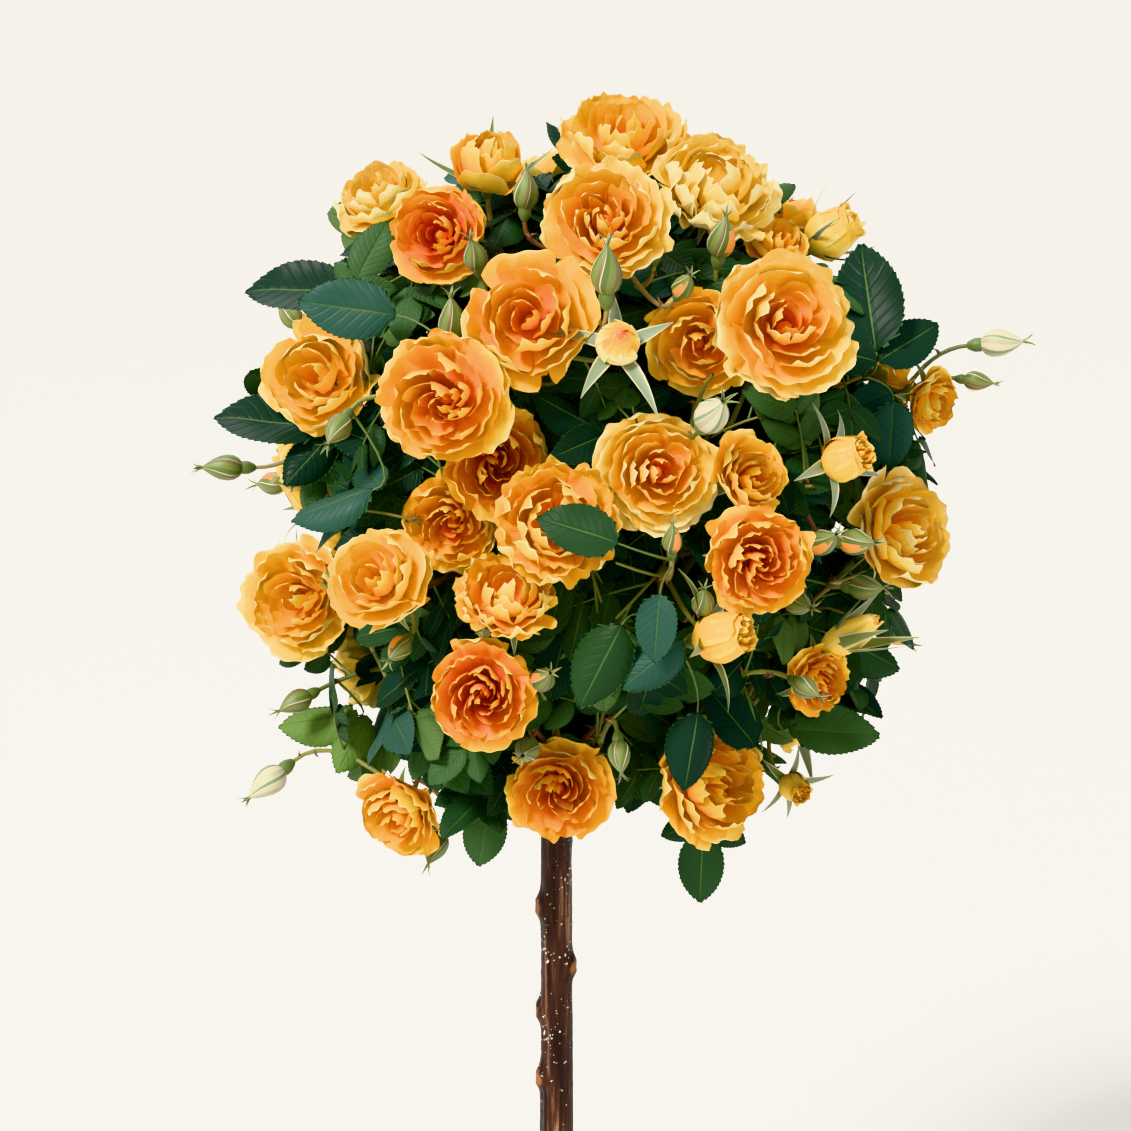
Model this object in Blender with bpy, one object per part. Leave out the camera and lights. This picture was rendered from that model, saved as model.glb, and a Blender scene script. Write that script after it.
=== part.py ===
"""A standard rose: a bare stem, and on top of it a round head of canes, leaves and double flowers.

The stem is cut flat at ground level. The knob at its top is the union, where the rose was budded
onto the stem, and every cane springs from it. Each cane carries one mass, which is a leader with
its side shoots, leaves, flowers and buds fused on.

Metres, +Z up. The origin is the middle of the cut at ground level, and -Y is the front.
"""

import math
import random
from collections import namedtuple

import bmesh
import bpy
from mathutils import Quaternion, Vector
from mathutils.bvhtree import BVHTree

# ---------------------------------------------------------------- driving dimensions
STEM_HEIGHT = 0.603  # from the ground to the middle of the union
STEM_TOP_RADIUS = 0.0099
STEM_TAPER = 0.0030  # how much thicker the stem is at its foot
FLARE_WIDTH = 0.0090  # what the root flare adds to the radius
FLARE_HEIGHT = 0.030
UNION_RADIUS = 0.0205
STEM_SIDES = 12
STEM_RING_GAP = 0.030

CANE_FOOT_RADIUS = 0.0058
CANE_TIP_RADIUS = 0.0042
CANE_SIDES = 6
CANE_RINGS = 5
SEAT_GAP = 0.0003  # between pieces that touch

HEAD_MIDDLE = Vector((0.027, 0.0, 0.800))
HEAD_RADII = Vector((0.203, 0.205, 0.222))  # where the flowers' middles lie
HEAD_FLOOR = 0.525  # the lowest leaf
CELL_GAP = 0.0008  # between the spaces of two masses

EYE_DISTANCE = 2.0  # the front flowers are set out as an eye sees them from here
EYE_ELEVATION = math.radians(16)

LEADER_RADIUS = 0.0036
SHOOT_RADIUS = 0.0019
RACHIS_RADIUS = 0.0012
LEAFLET_LENGTH = 0.060
LEAFLET_WIDTH = 0.040
LEAFLET_THICKNESS = 0.0016
BUD_WIDTH = 0.017
BUD_LENGTH = 0.030

SEED = 47

# A cane's bearing is measured from the front, positive to the right.
Cane = namedtuple("Cane", "name bearing rise length")
# A flower's or bud's place: across and up from the head's middle, in mm, as the eye sees it.
# It is turned (to the right) and tipped (up) from facing the eye, in degrees. A flower's lift is
# how far towards the eye it stands from the head's outline, in mm.
Flower = namedtuple("Flower", "across up width turn tip lift")
Bud = namedtuple("Bud", "across up turn tip")
# An outer leaf's foot and tip, placed in the same way.
OuterLeaf = namedtuple("OuterLeaf", "across up tip_across tip_up")
# A bud behind the head: its bearing and rise from the head's middle, in degrees, and how far out
# it stands, over the head's outline.
RearBud = namedtuple("RearBud", "bearing rise reach")

CANES = (
    Cane("top", 60, 86, 0.150),
    Cane("high_front_left", -34, 56, 0.120),
    Cane("high_front_right", 38, 56, 0.120),
    Cane("high_right", 110, 55, 0.120),
    Cane("high_back", 182, 56, 0.120),
    Cane("high_left", -106, 56, 0.120),
    Cane("low_front", 3, 22, 0.065),
    Cane("low_front_right", 58, 22, 0.070),
    Cane("low_back_right", 117, 22, 0.070),
    Cane("low_back", 178, 22, 0.065),
    Cane("low_back_left", -119, 22, 0.065),
    Cane("low_front_left", -58, 22, 0.065),
)

FRONT_FLOWERS = (
    Flower(17, 221, 80, 0, 62, 0),
    Flower(2, 168, 78, -6, 18, 18),
    Flower(76, 189, 76, 22, 52, 0),
    Flower(114, 152, 44, 20, 45, -10),
    Flower(120, 98, 88, 12, 10, 30),
    Flower(64, 86, 66, -4, -6, -30),
    Flower(-47, 102, 80, -8, 8, 10),
    Flower(-103, 51, 80, -14, -4, 18),
    Flower(-106, 156, 64, -16, 8, 0),
    Flower(-142, 183, 58, -34, 55, 0),
    Flower(-181, 66, 70, -38, 10, 0),
    Flower(-71, 197, 44, -10, 40, 0),
    Flower(36, 4, 74, 6, 2, 18),
    Flower(97, 2, 52, 34, 12, -12),
    Flower(101, -54, 66, 12, -8, 12),
    Flower(-66, 8, 60, 6, -16, -34),
    Flower(-97, -29, 60, -10, -4, -8),
    Flower(-24, -28, 72, 0, 12, -10),
    Flower(-60, -72, 66, 2, 40, 20),
    Flower(-144, -63, 68, -22, 22, 16),
    Flower(-195, -77, 68, -30, 4, -20),
    Flower(-77, -140, 68, -4, -10, 10),
    Flower(-130, -217, 62, -30, -28, 0),
    Flower(-26, -203, 68, 0, -16, 0),
    Flower(77, -200, 64, 14, 24, 5),
    Flower(142, -130, 46, 30, -16, 0),
    Flower(197, -32, 64, 58, 4, 0),
    Flower(215, 48, 44, 48, -20, 0),
)

FRONT_BUDS = (
    Bud(-237, 7, -78, 0),
    Bud(254, 86, 78, 4),
    Bud(240, 62, 70, -8),
    Bud(-210, -193, -62, -36),
    Bud(-192, -142, -60, -24),
    Bud(-129, -109, -30, -30),
    Bud(143, 152, 24, 52),
    Bud(157, 13, 30, 10),
    Bud(80, -102, 40, 6),
    Bud(158, -104, 66, 10),
    Bud(-48, 182, 10, 74),
    Bud(10, 90, 0, 6),
    Bud(163, -41, 42, 0),
    Bud(12, -177, 10, -60),
)

# The buds that stand out past the flowers on the far side.
REAR_BUDS = (
    RearBud(172, 16, 1.12),
    RearBud(-166, -6, 1.10),
    RearBud(150, 36, 1.12),
    RearBud(-145, 30, 1.12),
    RearBud(155, -16, 1.08),
)

# The leaves that stand out past the flowers all round the head's edge.
OUTER_LEAVES = (
    OuterLeaf(-166, 122, -226, 138),
    OuterLeaf(-162, 132, -142, 176),
    OuterLeaf(-184, 32, -246, 50),
    OuterLeaf(-152, -8, -204, -16),
    OuterLeaf(-160, -158, -218, -156),
    OuterLeaf(-72, -216, -82, -262),
    OuterLeaf(58, -236, 80, -272),
    OuterLeaf(126, -168, 180, -164),
    OuterLeaf(184, 84, 174, 156),
    OuterLeaf(196, 52, 194, 4),
    OuterLeaf(38, 96, 60, 140),
)


# ---------------------------------------------------------------- small tools
def heading(bearing, rise):
    """The direction with this bearing from the front and this rise, in degrees."""
    b, r = math.radians(bearing), math.radians(rise)
    return Vector((math.sin(b) * math.cos(r), -math.cos(b) * math.cos(r), math.sin(r)))


def clear_scene():
    for old in list(bpy.data.objects):
        bpy.data.objects.remove(old)


def material(name, colour, roughness):
    made = bpy.data.materials.new(name)
    made.use_nodes = True
    shader = made.node_tree.nodes["Principled BSDF"]
    shader.inputs["Base Color"].default_value = (*colour, 1.0)
    shader.inputs["Roughness"].default_value = roughness
    shader.inputs["Metallic"].default_value = 0.0
    made.diffuse_color = (*colour, 1.0)
    return made


def add_object(name, points, faces, finishes):
    """A mesh object, with each face given as (corners, index of its finish)."""
    mesh = bpy.data.meshes.new(name)
    mesh.from_pydata([tuple(p) for p in points], [], [corners for corners, _ in faces])
    for finish in finishes:
        mesh.materials.append(finish)
    for polygon, (_, finish) in zip(mesh.polygons, faces):
        polygon.material_index = finish
    mesh.update()
    made = bpy.data.objects.new(name, mesh)
    bpy.context.scene.collection.objects.link(made)
    return made


def lofted(rings, bottom=None, top=None, finish=0):
    """(points, faces) of a closed skin over rings of points, each end a point or a flat cap."""
    sides = len(rings[0])
    points = [p for ring in rings for p in ring]
    faces = []
    for level in range(len(rings) - 1):
        low, high = level * sides, (level + 1) * sides
        for i in range(sides):
            j = (i + 1) % sides
            faces.append(((low + i, low + j, high + j, high + i), finish))
    last = (len(rings) - 1) * sides
    if bottom is None:
        faces.append((tuple(range(sides - 1, -1, -1)), finish))
    else:
        points.append(bottom)
        faces += [((len(points) - 1, (i + 1) % sides, i), finish) for i in range(sides)]
    if top is None:
        faces.append((tuple(range(last, last + sides)), finish))
    else:
        points.append(top)
        faces += [
            ((len(points) - 1, last + i, last + (i + 1) % sides), finish)
            for i in range(sides)
        ]
    return points, faces


def circle(middle, along, radius, sides, start=Vector((0.31, 0.17, 0.93))):
    """Points round a middle, in the plane across a direction."""
    side = along.cross(start).normalized()
    other = along.cross(side).normalized()
    turns = [2 * math.pi * i / sides for i in range(sides)]
    return [middle + (side * math.cos(t) + other * math.sin(t)) * radius for t in turns]


def bezier(a, b, c, t):
    return a * (1 - t) ** 2 + b * 2 * t * (1 - t) + c * t**2


def bezier_heading(a, b, c, t):
    return ((b - a) * (1 - t) + (c - b) * t).normalized()


def limb(a, b, c, foot_radius, tip_radius, sides, rings, finish=0):
    """A tapering limb along the curve a, b, c, with flat ends."""
    start = (c - a).orthogonal()
    made = []
    for i in range(rings):
        t = i / (rings - 1)
        along = bezier_heading(a, b, c, t)
        radius = foot_radius + (tip_radius - foot_radius) * t
        made.append(circle(bezier(a, b, c, t), along, radius, sides, start))
    return lofted(made, finish=finish)


# ---------------------------------------------------------------- stem
# Stubs of the side shoots that were cut off the stem as it grew: height and bearing.
STEM_STUBS = (
    (0.078, 35), (0.142, 200), (0.203, -60), (0.262, 95), (0.318, -150),
    (0.378, -72), (0.427, -96), (0.4615, 66), (0.504, -80), (0.548, 150),
)
STUB_HEIGHT = 0.0042
STUB_REACH = 0.0085  # half its length along the stem
STUB_SPREAD = math.radians(34)
UNION = Vector((0, 0, STEM_HEIGHT))


def stem_radius(height, turn):
    """The stem's radius at a height and bearing, with its taper, flare and stubs."""
    radius = STEM_TOP_RADIUS + STEM_TAPER * (1 - height / STEM_HEIGHT)
    radius += FLARE_WIDTH * math.exp(-height / FLARE_HEIGHT) * (1 + 0.22 * math.cos(4 * turn))
    for at, bearing in STEM_STUBS:
        apart = math.remainder(turn - math.radians(bearing), 2 * math.pi) / STUB_SPREAD
        radius += STUB_HEIGHT * math.exp(-(((height - at) / STUB_REACH) ** 2) - apart**2)
    return radius


def stem_heights():
    """Even heights up the stem, with three more at each stub."""
    even = [i * STEM_RING_GAP for i in range(int((STEM_HEIGHT - 0.035) / STEM_RING_GAP) + 1)]
    stubs = [at + step * STUB_REACH for at, _ in STEM_STUBS for step in (-1.4, 0, 1.4)]
    clear = [h for h in even if all(abs(h - s) > 0.011 for s in stubs) or h == 0]
    return sorted(clear + stubs + [FLARE_HEIGHT * 0.35])


def stem(bark):
    rings = []
    for height in stem_heights():
        turns = [2 * math.pi * i / STEM_SIDES for i in range(STEM_SIDES)]
        ring = []
        for turn in turns:
            out = Vector((math.sin(turn), -math.cos(turn), 0))
            ring.append(out * stem_radius(height, turn) + Vector((0, 0, height)))
        rings.append(ring)
    grown = 1 / math.cos(math.pi / STEM_SIDES)  # so that the flats touch the round
    for lift in (-54, -30, -8, 16, 40, 64):
        a = math.radians(lift)
        radius = max(UNION_RADIUS * math.cos(a), STEM_TOP_RADIUS) * grown
        height = STEM_HEIGHT + UNION_RADIUS * math.sin(a)
        rings.append(
            [
                Vector((math.sin(t) * radius, -math.cos(t) * radius, height))
                for t in (2 * math.pi * i / STEM_SIDES for i in range(STEM_SIDES))
            ]
        )
    points, faces = lofted(rings, top=UNION + Vector((0, 0, UNION_RADIUS)))
    made = add_object("stem", points, faces, [bark])
    made.data.shade_smooth()
    made.data.set_sharp_from_angle(angle=math.radians(50))
    return made


# ---------------------------------------------------------------- canes
CANE_START = UNION_RADIUS + 0.0008
CANE_LIFT = 0.10  # how far a cane arches above its straight line, over its length


def cane_line(cane):
    """The three points of a cane's curve. It leaves the union squarely and arches a little."""
    along = heading(cane.bearing, cane.rise)
    a = UNION + along * CANE_START
    c = UNION + along * (CANE_START + cane.length)
    b = (a + c) / 2 + Vector((0, 0, 1)) * cane.length * CANE_LIFT * math.cos(math.radians(cane.rise))
    return a, b, c


def canes(bark):
    for cane in CANES:
        points, faces = limb(
            *cane_line(cane), CANE_FOOT_RADIUS, CANE_TIP_RADIUS, CANE_SIDES, CANE_RINGS
        )
        add_object("cane_" + cane.name, points, faces, [bark]).data.shade_smooth()


# ---------------------------------------------------------------- the space of each mass
def owner(place):
    """The cane whose direction from the union is nearest to a place's."""
    out = place - UNION
    return max(CANES, key=lambda cane: out.dot(heading(cane.bearing, cane.rise)))


def room_in_cell(place, cane):
    """How far a place lies inside the space round its cane's direction: less than 0 is outside."""
    out = place - UNION
    mine = heading(cane.bearing, cane.rise)
    room = 1.0
    for other in CANES:
        if other is not cane:
            apart = mine - heading(other.bearing, other.rise)
            room = min(room, out.dot(apart.normalized()))
    return room


def in_head(place, reach=1.0):
    """Whether a place is inside the head's outline, grown by reach, and clear of the stem."""
    off = place - HEAD_MIDDLE
    share = sum((off[i] / (HEAD_RADII[i] * reach)) ** 2 for i in range(3))
    from_stem = math.hypot(place.x, place.y)
    beside_stem = place.z < STEM_HEIGHT + 0.03 and from_stem < 0.034
    return share < 1.0 and place.z > HEAD_FLOOR and not beside_stem


# ---------------------------------------------------------------- where flowers and buds are
Bloom = namedtuple("Bloom", "place facing width cane")


def pulled_in(place, cane, room):
    """The place, moved towards its cane's direction until it has this much room in the space."""
    aim = heading(cane.bearing, cane.rise)
    axis_place = UNION + aim * (place - UNION).dot(aim)
    for step in range(20):
        moved = place.lerp(axis_place, step / 20)
        if room_in_cell(moved, cane) > room:
            return moved
    return axis_place


TO_EYE = Vector((0, -math.cos(EYE_ELEVATION), math.sin(EYE_ELEVATION)))
EYE_RIGHT = Vector((1, 0, 0))
EYE_UP = Vector((0, math.sin(EYE_ELEVATION), math.cos(EYE_ELEVATION)))
EYE = HEAD_MIDDLE + TO_EYE * EYE_DISTANCE


def on_head(across, up, lift=0):
    """Where the sight line through this offset meets the head's outline, brought nearer by lift."""
    through = HEAD_MIDDLE + (EYE_RIGHT * across + EYE_UP * up) / 1000
    line = (through - EYE).normalized()
    off = EYE - HEAD_MIDDLE
    a = sum((line[i] / HEAD_RADII[i]) ** 2 for i in range(3))
    b = sum(line[i] * off[i] / HEAD_RADII[i] ** 2 for i in range(3))
    c = sum((off[i] / HEAD_RADII[i]) ** 2 for i in range(3)) - 1
    under_root = max(b * b - a * c, 0.0)
    return EYE + line * ((-b - math.sqrt(under_root)) / a - lift / 1000)


def faced(turn, tip):
    """The direction that is turned to the right and tipped up from facing the eye."""
    turned = Quaternion(EYE_UP, math.radians(turn)) @ TO_EYE
    sideways = turned.cross(EYE_UP).normalized()
    return (Quaternion(sideways, math.radians(tip)) @ turned).normalized()


STALK_ROOM = 0.004  # from a stalk's middle to the edge of its mass's space
FLOWER_SPACING = 0.49  # of two flowers' widths together, between their middles
BACK_COUNT = 58  # flower places round the whole head, of which the front ones are left out
BACK_WIDTHS = (0.072, 0.064, 0.076, 0.068)
GOLDEN_TURN = math.pi * (3 - math.sqrt(5))


def settled(blooms):
    """The flowers with the smaller of any two that would meet set further into the head."""
    found = list(blooms)
    for _ in range(20):
        for i, one in enumerate(found):
            for k, other in enumerate(found[:i]):
                near = (one.place - other.place).length
                if near < FLOWER_SPACING * (one.width + other.width):
                    index = i if one.width <= other.width else k
                    small = found[index]
                    further = small.place + (small.place - EYE).normalized() * 0.0025
                    found[index] = small._replace(place=further)
                    one = found[i]
    return found


def back_flowers(front):
    """Flowers spread evenly over the rest of the head, clear of the front ones."""
    found = []
    for i in range(BACK_COUNT):
        z = 1 - 1.80 * (i + 0.5) / BACK_COUNT
        ring = math.sqrt(1 - z * z)
        out = Vector((math.cos(i * GOLDEN_TURN) * ring, math.sin(i * GOLDEN_TURN) * ring, z))
        place = HEAD_MIDDLE + Vector(out[k] * HEAD_RADII[k] * 0.98 for k in range(3))
        width = BACK_WIDTHS[i % len(BACK_WIDTHS)]
        clear = all((place - b.place).length > (width + b.width) * 0.52 for b in front + found)
        if out.dot(TO_EYE) < 0.15 and clear:
            facing = (out + Vector((0, 0, 0.35))).normalized()
            found.append(Bloom(place, facing, width, None))
    return found


def flower_seat(bloom):
    """Where a flower's stalk meets the bottom of its cup."""
    return bloom.place - bloom.facing * (0.22 * bloom.width)


def flowers():
    """Every flower, given to the mass whose space its stalk ends in."""
    front = [
        Bloom(on_head(f.across, f.up, f.lift), faced(f.turn, f.tip), f.width / 1000, None)
        for f in FRONT_FLOWERS
    ]
    front = settled(front)
    found = []
    for bloom in front + back_flowers(front):
        seat = flower_seat(bloom)
        cane = owner(seat)
        shift = pulled_in(seat, cane, STALK_ROOM) - seat
        found.append(bloom._replace(place=bloom.place + shift, cane=cane))
    return narrowed(found)


def narrowed(blooms):
    """The flowers, each made narrow enough to clear those round it."""
    found = []
    for bloom in blooms:
        share = 1.0
        for other in blooms:
            if other is not bloom:
                apart = (bloom.place - other.place).length
                share = min(share, (apart - 0.002) / (0.48 * (bloom.width + other.width)))
        found.append(bloom._replace(width=bloom.width * share))
    return found


def bud_place(bud, lift):
    """Where a bud stands: a little proud of the flowers, or beside the head on a long stalk."""
    through = HEAD_MIDDLE + (EYE_RIGHT * bud.across + EYE_UP * bud.up) / 1000
    if (through - HEAD_MIDDLE).length > 0.205:
        return through + TO_EYE * (lift / 1000)
    return on_head(bud.across, bud.up, lift) + faced(bud.turn, bud.tip) * 0.014


def rear_bud_place(bud, shift):
    """Where a bud behind the head stands and the way it faces, its bearing moved by a shift."""
    out = heading(bud.bearing + shift, bud.rise)
    place = HEAD_MIDDLE + Vector(out[i] * HEAD_RADII[i] * bud.reach for i in range(3))
    return place, (out + Vector((0, 0, 0.25))).normalized()


# ---------------------------------------------------------------- pieces of a mass
GREEN, PETAL, SEPAL = 0, 1, 2  # finishes of a mass, in the order of its materials
# A flower's profile: radius and height over its width, and how far its rim waves.
FLOWER_PROFILE = ((0.17, -0.24, 0.0), (0.47, 0.0, 0.08), (0.29, 0.13, -0.06))
FLOWER_SIDES = 10
BUD_PROFILE = ((0.42, 0.22), (0.40, 0.55))
BUD_SIDES = 5


def flower_solid(bloom):
    """A double flower: a cup of five wide outer petals round a smaller cup."""
    along, width = bloom.facing, bloom.width
    rings = []
    for radius, height, wave in FLOWER_PROFILE:
        ring = circle(Vector(), along, 1.0, FLOWER_SIDES)
        middle = bloom.place + along * (height * width)
        waves = [1 + wave * (1 if i % 2 else -1) for i in range(FLOWER_SIDES)]
        rings.append([middle + p * (radius * width * w) for p, w in zip(ring, waves)])
    foot = bloom.place - along * (0.31 * width)
    eye = bloom.place + along * (0.07 * width)
    return lofted(rings, bottom=foot, top=eye, finish=PETAL)


def bud_solid(bloom):
    """A closed bud, standing on its stalk."""
    foot = bloom.place - bloom.facing * (0.4 * BUD_LENGTH)
    rings = [
        circle(foot + bloom.facing * (height * BUD_LENGTH), bloom.facing, radius * BUD_WIDTH, BUD_SIDES)
        for radius, height in BUD_PROFILE
    ]
    return lofted(rings, bottom=foot, top=foot + bloom.facing * BUD_LENGTH, finish=SEPAL)


def leaflet_solid(foot, along, face, length):
    """One leaflet, folded along its midrib: a blade of eight faces."""
    side = along.cross(face).normalized()
    middle = foot + along * (0.50 * length)
    half = LEAFLET_WIDTH / 2 * length / LEAFLET_LENGTH
    points = [
        foot,
        middle + side * half + face * 0.0035,
        foot + along * length - face * 0.004,
        middle - side * half + face * 0.0035,
        middle + face * (LEAFLET_THICKNESS / 2),
        middle - face * (LEAFLET_THICKNESS / 2 + 0.0005),
    ]
    faces = [((4, i, (i + 1) % 4), GREEN) for i in range(4)]
    faces += [((5, (i + 1) % 4, i), GREEN) for i in range(4)]
    if (points[1] - points[0]).cross(points[2] - points[0]).dot(face) < 0:
        faces = [(corners[::-1], finish) for corners, finish in faces]
    return points, faces


# ---------------------------------------------------------------- the growing rule
Shoot = namedtuple("Shoot", "a b c")
LEADER_SHARE = 0.66  # of the way from the union to the head's outline
LEAF_REACH = 1.24  # of the head's outline, for most leaves
MOST_REACH = 1.45  # for the buds and leaves that stand out furthest
DEPTHS = (0, 12, -12, 24, -24, 36, -36, 48, -48)  # lifts that an outer piece tries, in mm
SHIFTS = (0, 5, -5, 10, -10, 15, -15)  # turns that a bud behind the head tries, in degrees
LEAF_TRIES = 8  # turns that a leaf tries before it is skipped
FLOWER_LEAVES, BUD_LEAVES, FILL_LEAVES = 3, 1, 4
LEAF_SIZES = (1.0, 0.9, 1.06, 0.84)
FILL_LAYERS = ((0.99, 44), (0.80, 24))  # share of the outline, and places round the head
# A side shoot's routes: where it leaves the leader, and how far it bends to arrive squarely.
ROUTES = ((0.55, 0.38), (0.40, 0.34), (0.70, 0.38), (0.30, 0.50), (0.85, 0.28), (0.20, 0.30))


def outline_distance(along):
    """How far from the union the head's outline lies in a direction."""
    off = UNION - HEAD_MIDDLE
    a = sum((along[i] / HEAD_RADII[i]) ** 2 for i in range(3))
    b = sum(along[i] * off[i] / HEAD_RADII[i] ** 2 for i in range(3))
    c = sum((off[i] / HEAD_RADII[i]) ** 2 for i in range(3)) - 1
    return (-b + math.sqrt(max(b * b - a * c, 0))) / a


def leader(cane):
    """The mass's own stem, which takes over at the cane's tip and runs on in its line."""
    _, bend, tip = cane_line(cane)
    along = (tip - bend).normalized()
    start = tip + along * SEAT_GAP
    aim = heading(cane.bearing, cane.rise)
    far = outline_distance(aim)
    end = UNION + aim * max(LEADER_SHARE * far + 0.34 * CANE_START, CANE_START + cane.length + 0.035)
    return Shoot(start, start + along * (0.45 * (end - start).length), end)


def shoots_to(target, arrival, stem_line, cane):
    """Side shoots, in order of liking, from the leader to a target, arriving along a direction."""
    reach = (target - stem_line.a).length
    span = (stem_line.c - stem_line.a).length
    for start_share, bend in ROUTES:
        t = min(max(start_share * reach / span - 0.12, 0.10), 0.94)
        a = bezier(*stem_line, t)
        b = target - arrival * (bend * (target - a).length)
        yield Shoot(a, pulled_in(b, cane, 0.004), target)


def leaf_face(way, out=TO_EYE):
    """The way that a leaf's upper side faces: up and out, across the way it points."""
    face = out * 0.6 + Vector((0, 0, 0.75)) + TO_EYE * 0.1
    return (face - way * face.dot(way)).normalized()


def leaf_at(shoot, t, turn, out, size):
    """A leaf at t up a shoot, turned this far round it, facing up and out."""
    along = bezier_heading(*shoot, t)
    across = Quaternion(along, turn) @ along.orthogonal().normalized()
    way = (across + along * 0.35 + out * 0.35).normalized()
    return leaflet_solid(bezier(*shoot, t), way, leaf_face(way, out), LEAFLET_LENGTH * size)


def fill_targets(cane):
    """Where the leafy side shoots of a mass end: even layers over its part of the head."""
    found = []
    for layer, (reach, count) in enumerate(FILL_LAYERS):
        for i in range(count):
            z = 1 - 2 * (i + 0.5) / count
            ring = math.sqrt(1 - z * z)
            turn = i * GOLDEN_TURN + layer
            out = Vector((math.cos(turn) * ring, math.sin(turn) * ring, z))
            place = HEAD_MIDDLE + Vector(out[k] * HEAD_RADII[k] * reach for k in range(3))
            if owner(place) is cane and place.z > STEM_HEIGHT - 0.035:
                found.append(place)
    return found


def in_flower(point, bloom, margin):
    """Whether a point lies inside a flower's cup, grown by a margin."""
    off = point - bloom.place
    height = off.dot(bloom.facing)
    out = (off - bloom.facing * height).length
    if not -0.32 * bloom.width - margin < height < 0.18 * bloom.width + margin:
        return False
    return out < bloom.width * min(0.52, 0.54 + 1.45 * height / bloom.width) + margin


def tree_of(pieces):
    """A search tree over the faces of several pieces."""
    points, corners = [], []
    for piece_points, faces in pieces:
        corners += [[c + len(points) for c in face] for face, _ in faces]
        points += piece_points
    return BVHTree.FromPolygons(points, corners)


def with_middles(points):
    """The points of a piece and the middles between them."""
    return points + [(p + q) / 2 for i, p in enumerate(points) for q in points[:i]]


class Mass:
    """One mass as it grows: its closed pieces, and what a new piece must keep clear of."""

    def __init__(self, cane, blooms):
        self.cane = cane
        self.rule = random.Random(f"{SEED} {cane.name}")
        self.own = [bloom for bloom in blooms if bloom.cane is cane]
        self.others = [bloom for bloom in blooms if bloom.cane is not cane]
        grown = [bloom._replace(width=bloom.width + 0.004) for bloom in self.others]
        wide = CANE_FOOT_RADIUS + 0.0015
        own_cane = limb(*cane_line(cane), wide, wide, CANE_SIDES, CANE_RINGS)
        self.kept_off = tree_of([flower_solid(bloom) for bloom in grown] + [own_cane])
        self.leader = leader(cane)
        self.pieces = [limb(*self.leader, LEADER_RADIUS, SHOOT_RADIUS, 5, 4)]
        self.shoots = []

    def fits(self, piece, reach=LEAF_REACH):
        """Whether a piece keeps to the mass's space and off the other masses' flowers."""
        for spot in with_middles(piece[0]):
            if room_in_cell(spot, self.cane) < CELL_GAP or not in_head(spot, reach):
                return False
            if any(in_flower(spot, bloom, 0.0015) for bloom in self.others):
                return False
        return not self.kept_off.overlap(tree_of([piece]))

    def free_of(self, piece, standing):
        """Whether a piece crosses none of the standing ones, and hides in none of its flowers."""
        if standing and tree_of([piece]).overlap(tree_of(standing)):
            return False
        return not any(in_flower(spot, bloom, 0.0) for spot in piece[0] for bloom in self.own)

    def add_shoot(self, target, arrival, tip_radius, leaves):
        """A side shoot along the first route that fits, off the mass's other flowers if it can."""
        found = None
        for shoot in shoots_to(target, arrival, self.leader, self.cane):
            piece = limb(*shoot, SHOOT_RADIUS, tip_radius, 3, 3)
            if self.fits(piece, MOST_REACH):
                found = found or (shoot, piece)
                middle = [bezier(*shoot, 0.2 + 0.06 * i) for i in range(10)]
                if not any(in_flower(spot, b, 0.002) for spot in middle for b in self.own):
                    found = (shoot, piece)
                    break
        if found:
            self.pieces.append(found[1])
            self.shoots.append((*found, leaves))
        return bool(found)

    def add_leaves(self):
        """Leaves up every shoot, each in the first turn round it where it crosses nothing."""
        for shoot, own_piece, count in self.shoots:
            out = (shoot.c - HEAD_MIDDLE).normalized()
            turn = self.rule.uniform(0, 2 * math.pi)
            for i in range(count):
                size = self.rule.choice(LEAF_SIZES)
                for _ in range(LEAF_TRIES):
                    turn += GOLDEN_TURN
                    leaf = leaf_at(shoot, (i + 0.9) / (count + 0.35), turn, out, size)
                    standing = [piece for piece in self.pieces if piece is not own_piece]
                    if self.fits(leaf) and self.free_of(leaf, standing):
                        self.pieces.append(leaf)
                        break


def add_flowers(masses, flower_list):
    for bloom in flower_list:
        mass = masses[bloom.cane]
        if mass.add_shoot(flower_seat(bloom), bloom.facing, SHOOT_RADIUS, FLOWER_LEAVES):
            mass.pieces.append(flower_solid(bloom))


def add_buds(masses):
    """The front buds, each at the first depth where it fits."""
    for bud in FRONT_BUDS:
        for lift in DEPTHS:
            place = bud_place(bud, lift)
            bloom = Bloom(place, faced(bud.turn, bud.tip), BUD_WIDTH, owner(place))
            mass, piece = masses[bloom.cane], bud_solid(bloom)
            seat = place - bloom.facing * (0.25 * BUD_LENGTH)
            if mass.fits(piece, MOST_REACH):
                if mass.add_shoot(seat, bloom.facing, RACHIS_RADIUS, BUD_LEAVES):
                    mass.pieces.append(piece)
                    break


def add_rear_buds(masses):
    """The buds behind the head, each at the first turn where it fits among what has grown."""
    for bud in REAR_BUDS:
        for shift in SHIFTS:
            place, facing = rear_bud_place(bud, shift)
            bloom = Bloom(place, facing, BUD_WIDTH, owner(place))
            mass, piece = masses[bloom.cane], bud_solid(bloom)
            seat = place - facing * (0.25 * BUD_LENGTH)
            if mass.fits(piece, MOST_REACH) and mass.free_of(piece, mass.pieces):
                if mass.add_shoot(seat, facing, RACHIS_RADIUS, 0):
                    mass.pieces.append(piece)
                    break


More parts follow.
